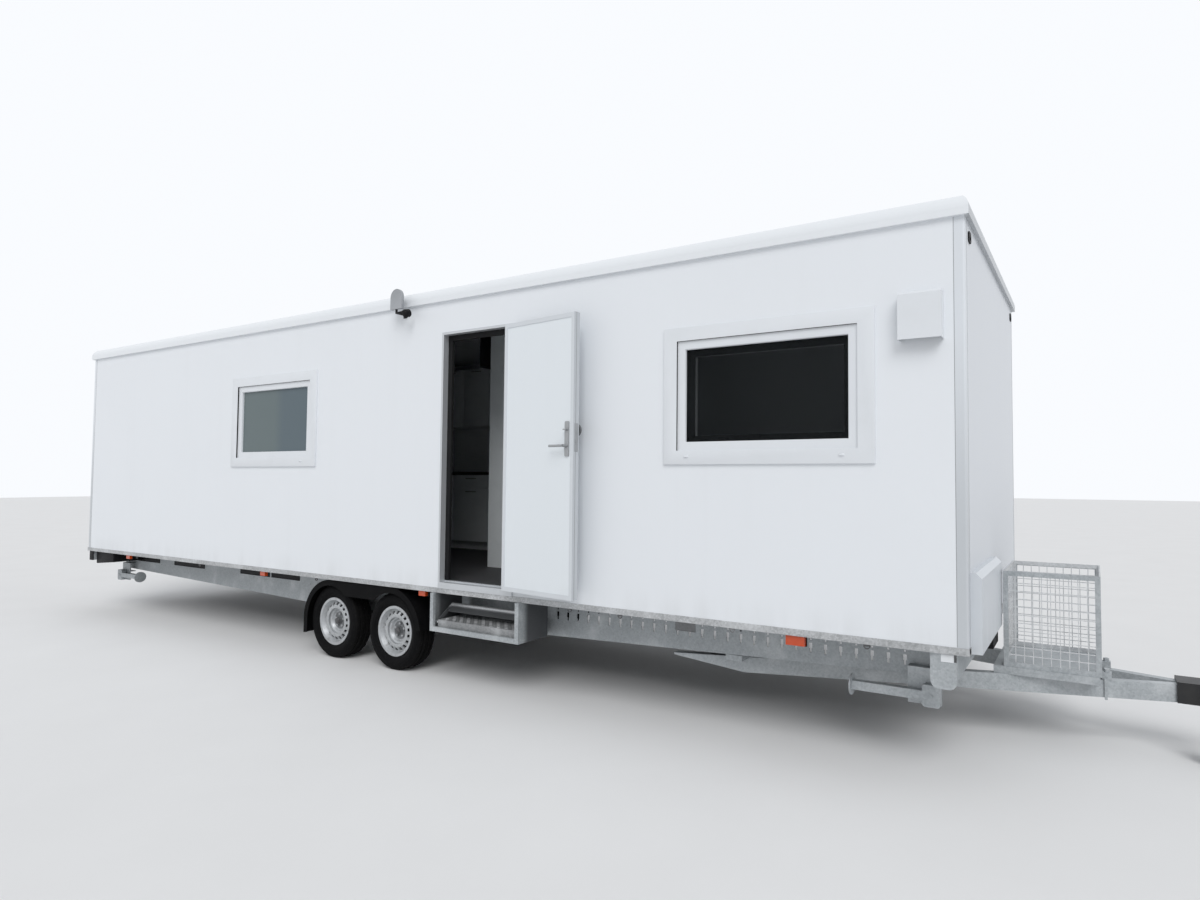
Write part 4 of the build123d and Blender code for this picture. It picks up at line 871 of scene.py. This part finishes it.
def middle_face(at, out):
    """Tests for the face at the wheel's axis that looks straight out."""
    return out.y < -0.9 and around(at)[0] < 0.01


def vent_faces(at, out):
    """Tests for the faces of the ring's slope that a vent takes."""
    from_axis, turn = around(at)
    return out.y < -0.3 and 0.1475 < from_axis < 0.1655 and 4 < turn < 12


def moved(y):
    """Gives a shift of the picked faces along Y."""
    return bpy.ops.transform.translate, {"value": (0, y, 0)}


shape(middle_face, bordered(0.003), bordered(0.004), moved(-0.002), bordered(0.024), moved(-0.016),
      bordered(0.004), moved(-0.002), bordered(0.022), bordered(0.004), moved(0.003), pushed(y=0.016),
      removed, lambda at, out: out.y > 0.9, removed)
shape(vent_faces, pushed(y=0.014))
rim_coat = zinc("rim_coat", (0.36, 0.375, 0.385), (0.50, 0.515, 0.525), 0.36, 0.2)
vented.data.materials.append(rim_coat)
vented.data.materials.append(black_plastic)
# Painted shade: the sunk faces of each vent take black plastic, for the dark seen through a vent.
for face in vented.data.polygons:
    from_axis, turn = around(face.center)
    sunk = face.center.y - centre[1] + 0.040 + max(0, 0.1665 - from_axis) * 0.667
    face.material_index = int(0.1415 < from_axis < 0.1675 and 3.5 < turn < 12.5 and sunk > 0.0025)
for bolt in bolts:
    bolt.data.materials.append(satin_metal)
hub_cap.data.materials.append(dull_steel)
hub_set = weld("wheel_bolts_near_front", *bolts, hub_cap, vented)
for side, outward in (("near", -1), ("far", 1)):
    for row in ("front", "rear"):
        middle = (wheel_x[row], wheel_y[side], axle_z)
        rubber, shader, place = finish(f"{side}_{row}_rubber")
        x, _, z = split(place)
        off_x = x - middle[0]
        off_z = z - axle_z
        reach = reach_of(off_x, off_z)
        angle = off_x.math("ARCTAN2", off_z)
        cloud = place.node("ShaderNodeTexNoise", {"Vector": place, "Scale": 30.0, "Detail": 5.0})
        ribs = angle.wave(180.0).between(-0.3, 0.3) * reach.between(0.236, 0.240)
        ribs = ribs * reach.between(0.252, 0.248)
        rings = reach.wave(900.0).between(0.5, 1.0) * reach.between(0.256, 0.259)
        rings = rings * reach.between(0.292, 0.288)
        sipes = angle.wave(62.0).between(0.80, 0.95) * reach.between(0.306, 0.312)
        relief = ribs * 0.5 + rings * 0.6 + cloud * 0.15 - sipes * 2.5
        bump = relief.node("ShaderNodeBump", {"Height": relief, "Strength": 0.7, "Distance": 0.0015})
        dust = cloud.between(0.5, 0.8) * 0.5 + reach.between(0.300, 0.330) * 0.4
        feed(shader, Base_Color=dust.blend((0.004, 0.004, 0.0045), (0.012, 0.0115, 0.011)),
             Roughness=dust.blend(0.68, 0.85), Normal=bump)
        shader.inputs["Specular IOR Level"].default_value = 0.08
        paint(rubber, f"{side}_{row}_tyre")
        silver, shader, place = finish(f"{side}_{row}_silver")
        x, y, z = split(place)
        depth = (y - middle[1]) * outward
        # Painted shade: the rim's faces less than 4 mm out from its middle, and all further in, are painted
        # near black.
        inside = depth.between(0.010, 0.004)
        grime = place.node("ShaderNodeTexNoise", {"Vector": place, "Scale": 34.0, "Detail": 6.0})
        flake = place.node("ShaderNodeTexNoise", {"Vector": place, "Scale": 700.0, "Detail": 1.0})
        bump = flake.node("ShaderNodeBump", {"Height": flake, "Strength": 0.08, "Distance": 0.0003})
        reach = reach_of(x - middle[0], z - axle_z)
        coat = grime.between(0.5, 0.8).blend((0.47, 0.485, 0.50), (0.30, 0.30, 0.295))
        # Painted shade: the rim darkens inside 86 mm from the axis, in the hub's recess.
        coat = (reach.between(0.086, 0.072) * 0.75).blend(coat, (0.10, 0.105, 0.11))
        feed(shader, Base_Color=inside.blend(coat, (0.006, 0.006, 0.006)), Roughness=grime.blend(0.28, 0.5),
             Metallic=inside.blend(0.45, 0.0), Normal=bump)
        paint(silver, f"{side}_{row}_rim")
        if (side, row) == ("near", "front"):
            turned = hub_set
        else:
            turn = Matrix.Translation(middle) @ Matrix.Rotation(0 if side == "near" else math.pi, 4, "Z")
            turned = repeat(hub_set, 1, turn @ from_centre)
            turned.name = f"wheel_bolts_{side}_{row}"
        fit(turned, mesh_wire, f"{side}_{row}_wheel")


# Lamps under the rail: amber side markers and red tail lamps, with moulded ribs behind the lens.
# Each marker is screwed to a black plastic backing plate that stands a little round it.
def lens(name, deep, bright):
    """A clear coloured lens over upright ribs."""
    made, shader, place = finish(name)
    x, _, _ = split(place)
    ribs = x.wave(900.0) * 0.5 + 0.5
    bump = ribs.node("ShaderNodeBump", {"Height": ribs, "Strength": 0.3, "Distance": 0.001})
    feed(shader, Base_Color=ribs.blend(deep, bright), Roughness=0.2, Normal=bump)
    shader.inputs["Coat Weight"].default_value = 0.5
    return made


paint(lens("amber_lens", (0.42, 0.042, 0.005), (0.62, 0.075, 0.008)), "marker_lamps")
paint(lens("red_lens", (0.30, 0.01, 0.01), (0.50, 0.03, 0.02)), "tail_lamps")
margin = 0.006
for number, (from_end, width, height) in enumerate(((0.972, 0.118, 0.060), (4.200, 0.078, 0.044),
                                                    (6.463, 0.078, 0.044), (9.179, 0.078, 0.044))):
    for side, back_y in enumerate((near_y + 0.0385, far_y - 0.0435)):
        back = slab(f"marker_back_{side}{number}",
                    (front_x - from_end - width / 2 - margin, back_y, rail_foot - height - margin),
                    (front_x - from_end + width / 2 + margin, back_y + 0.005, rail_foot))
        shape(lambda at, out: abs(out.y) > 0.5, bordered(0.003, use_individual=True))
        soften(back, 0.0015, 1)
        fit(back, black_plastic, "cabin")
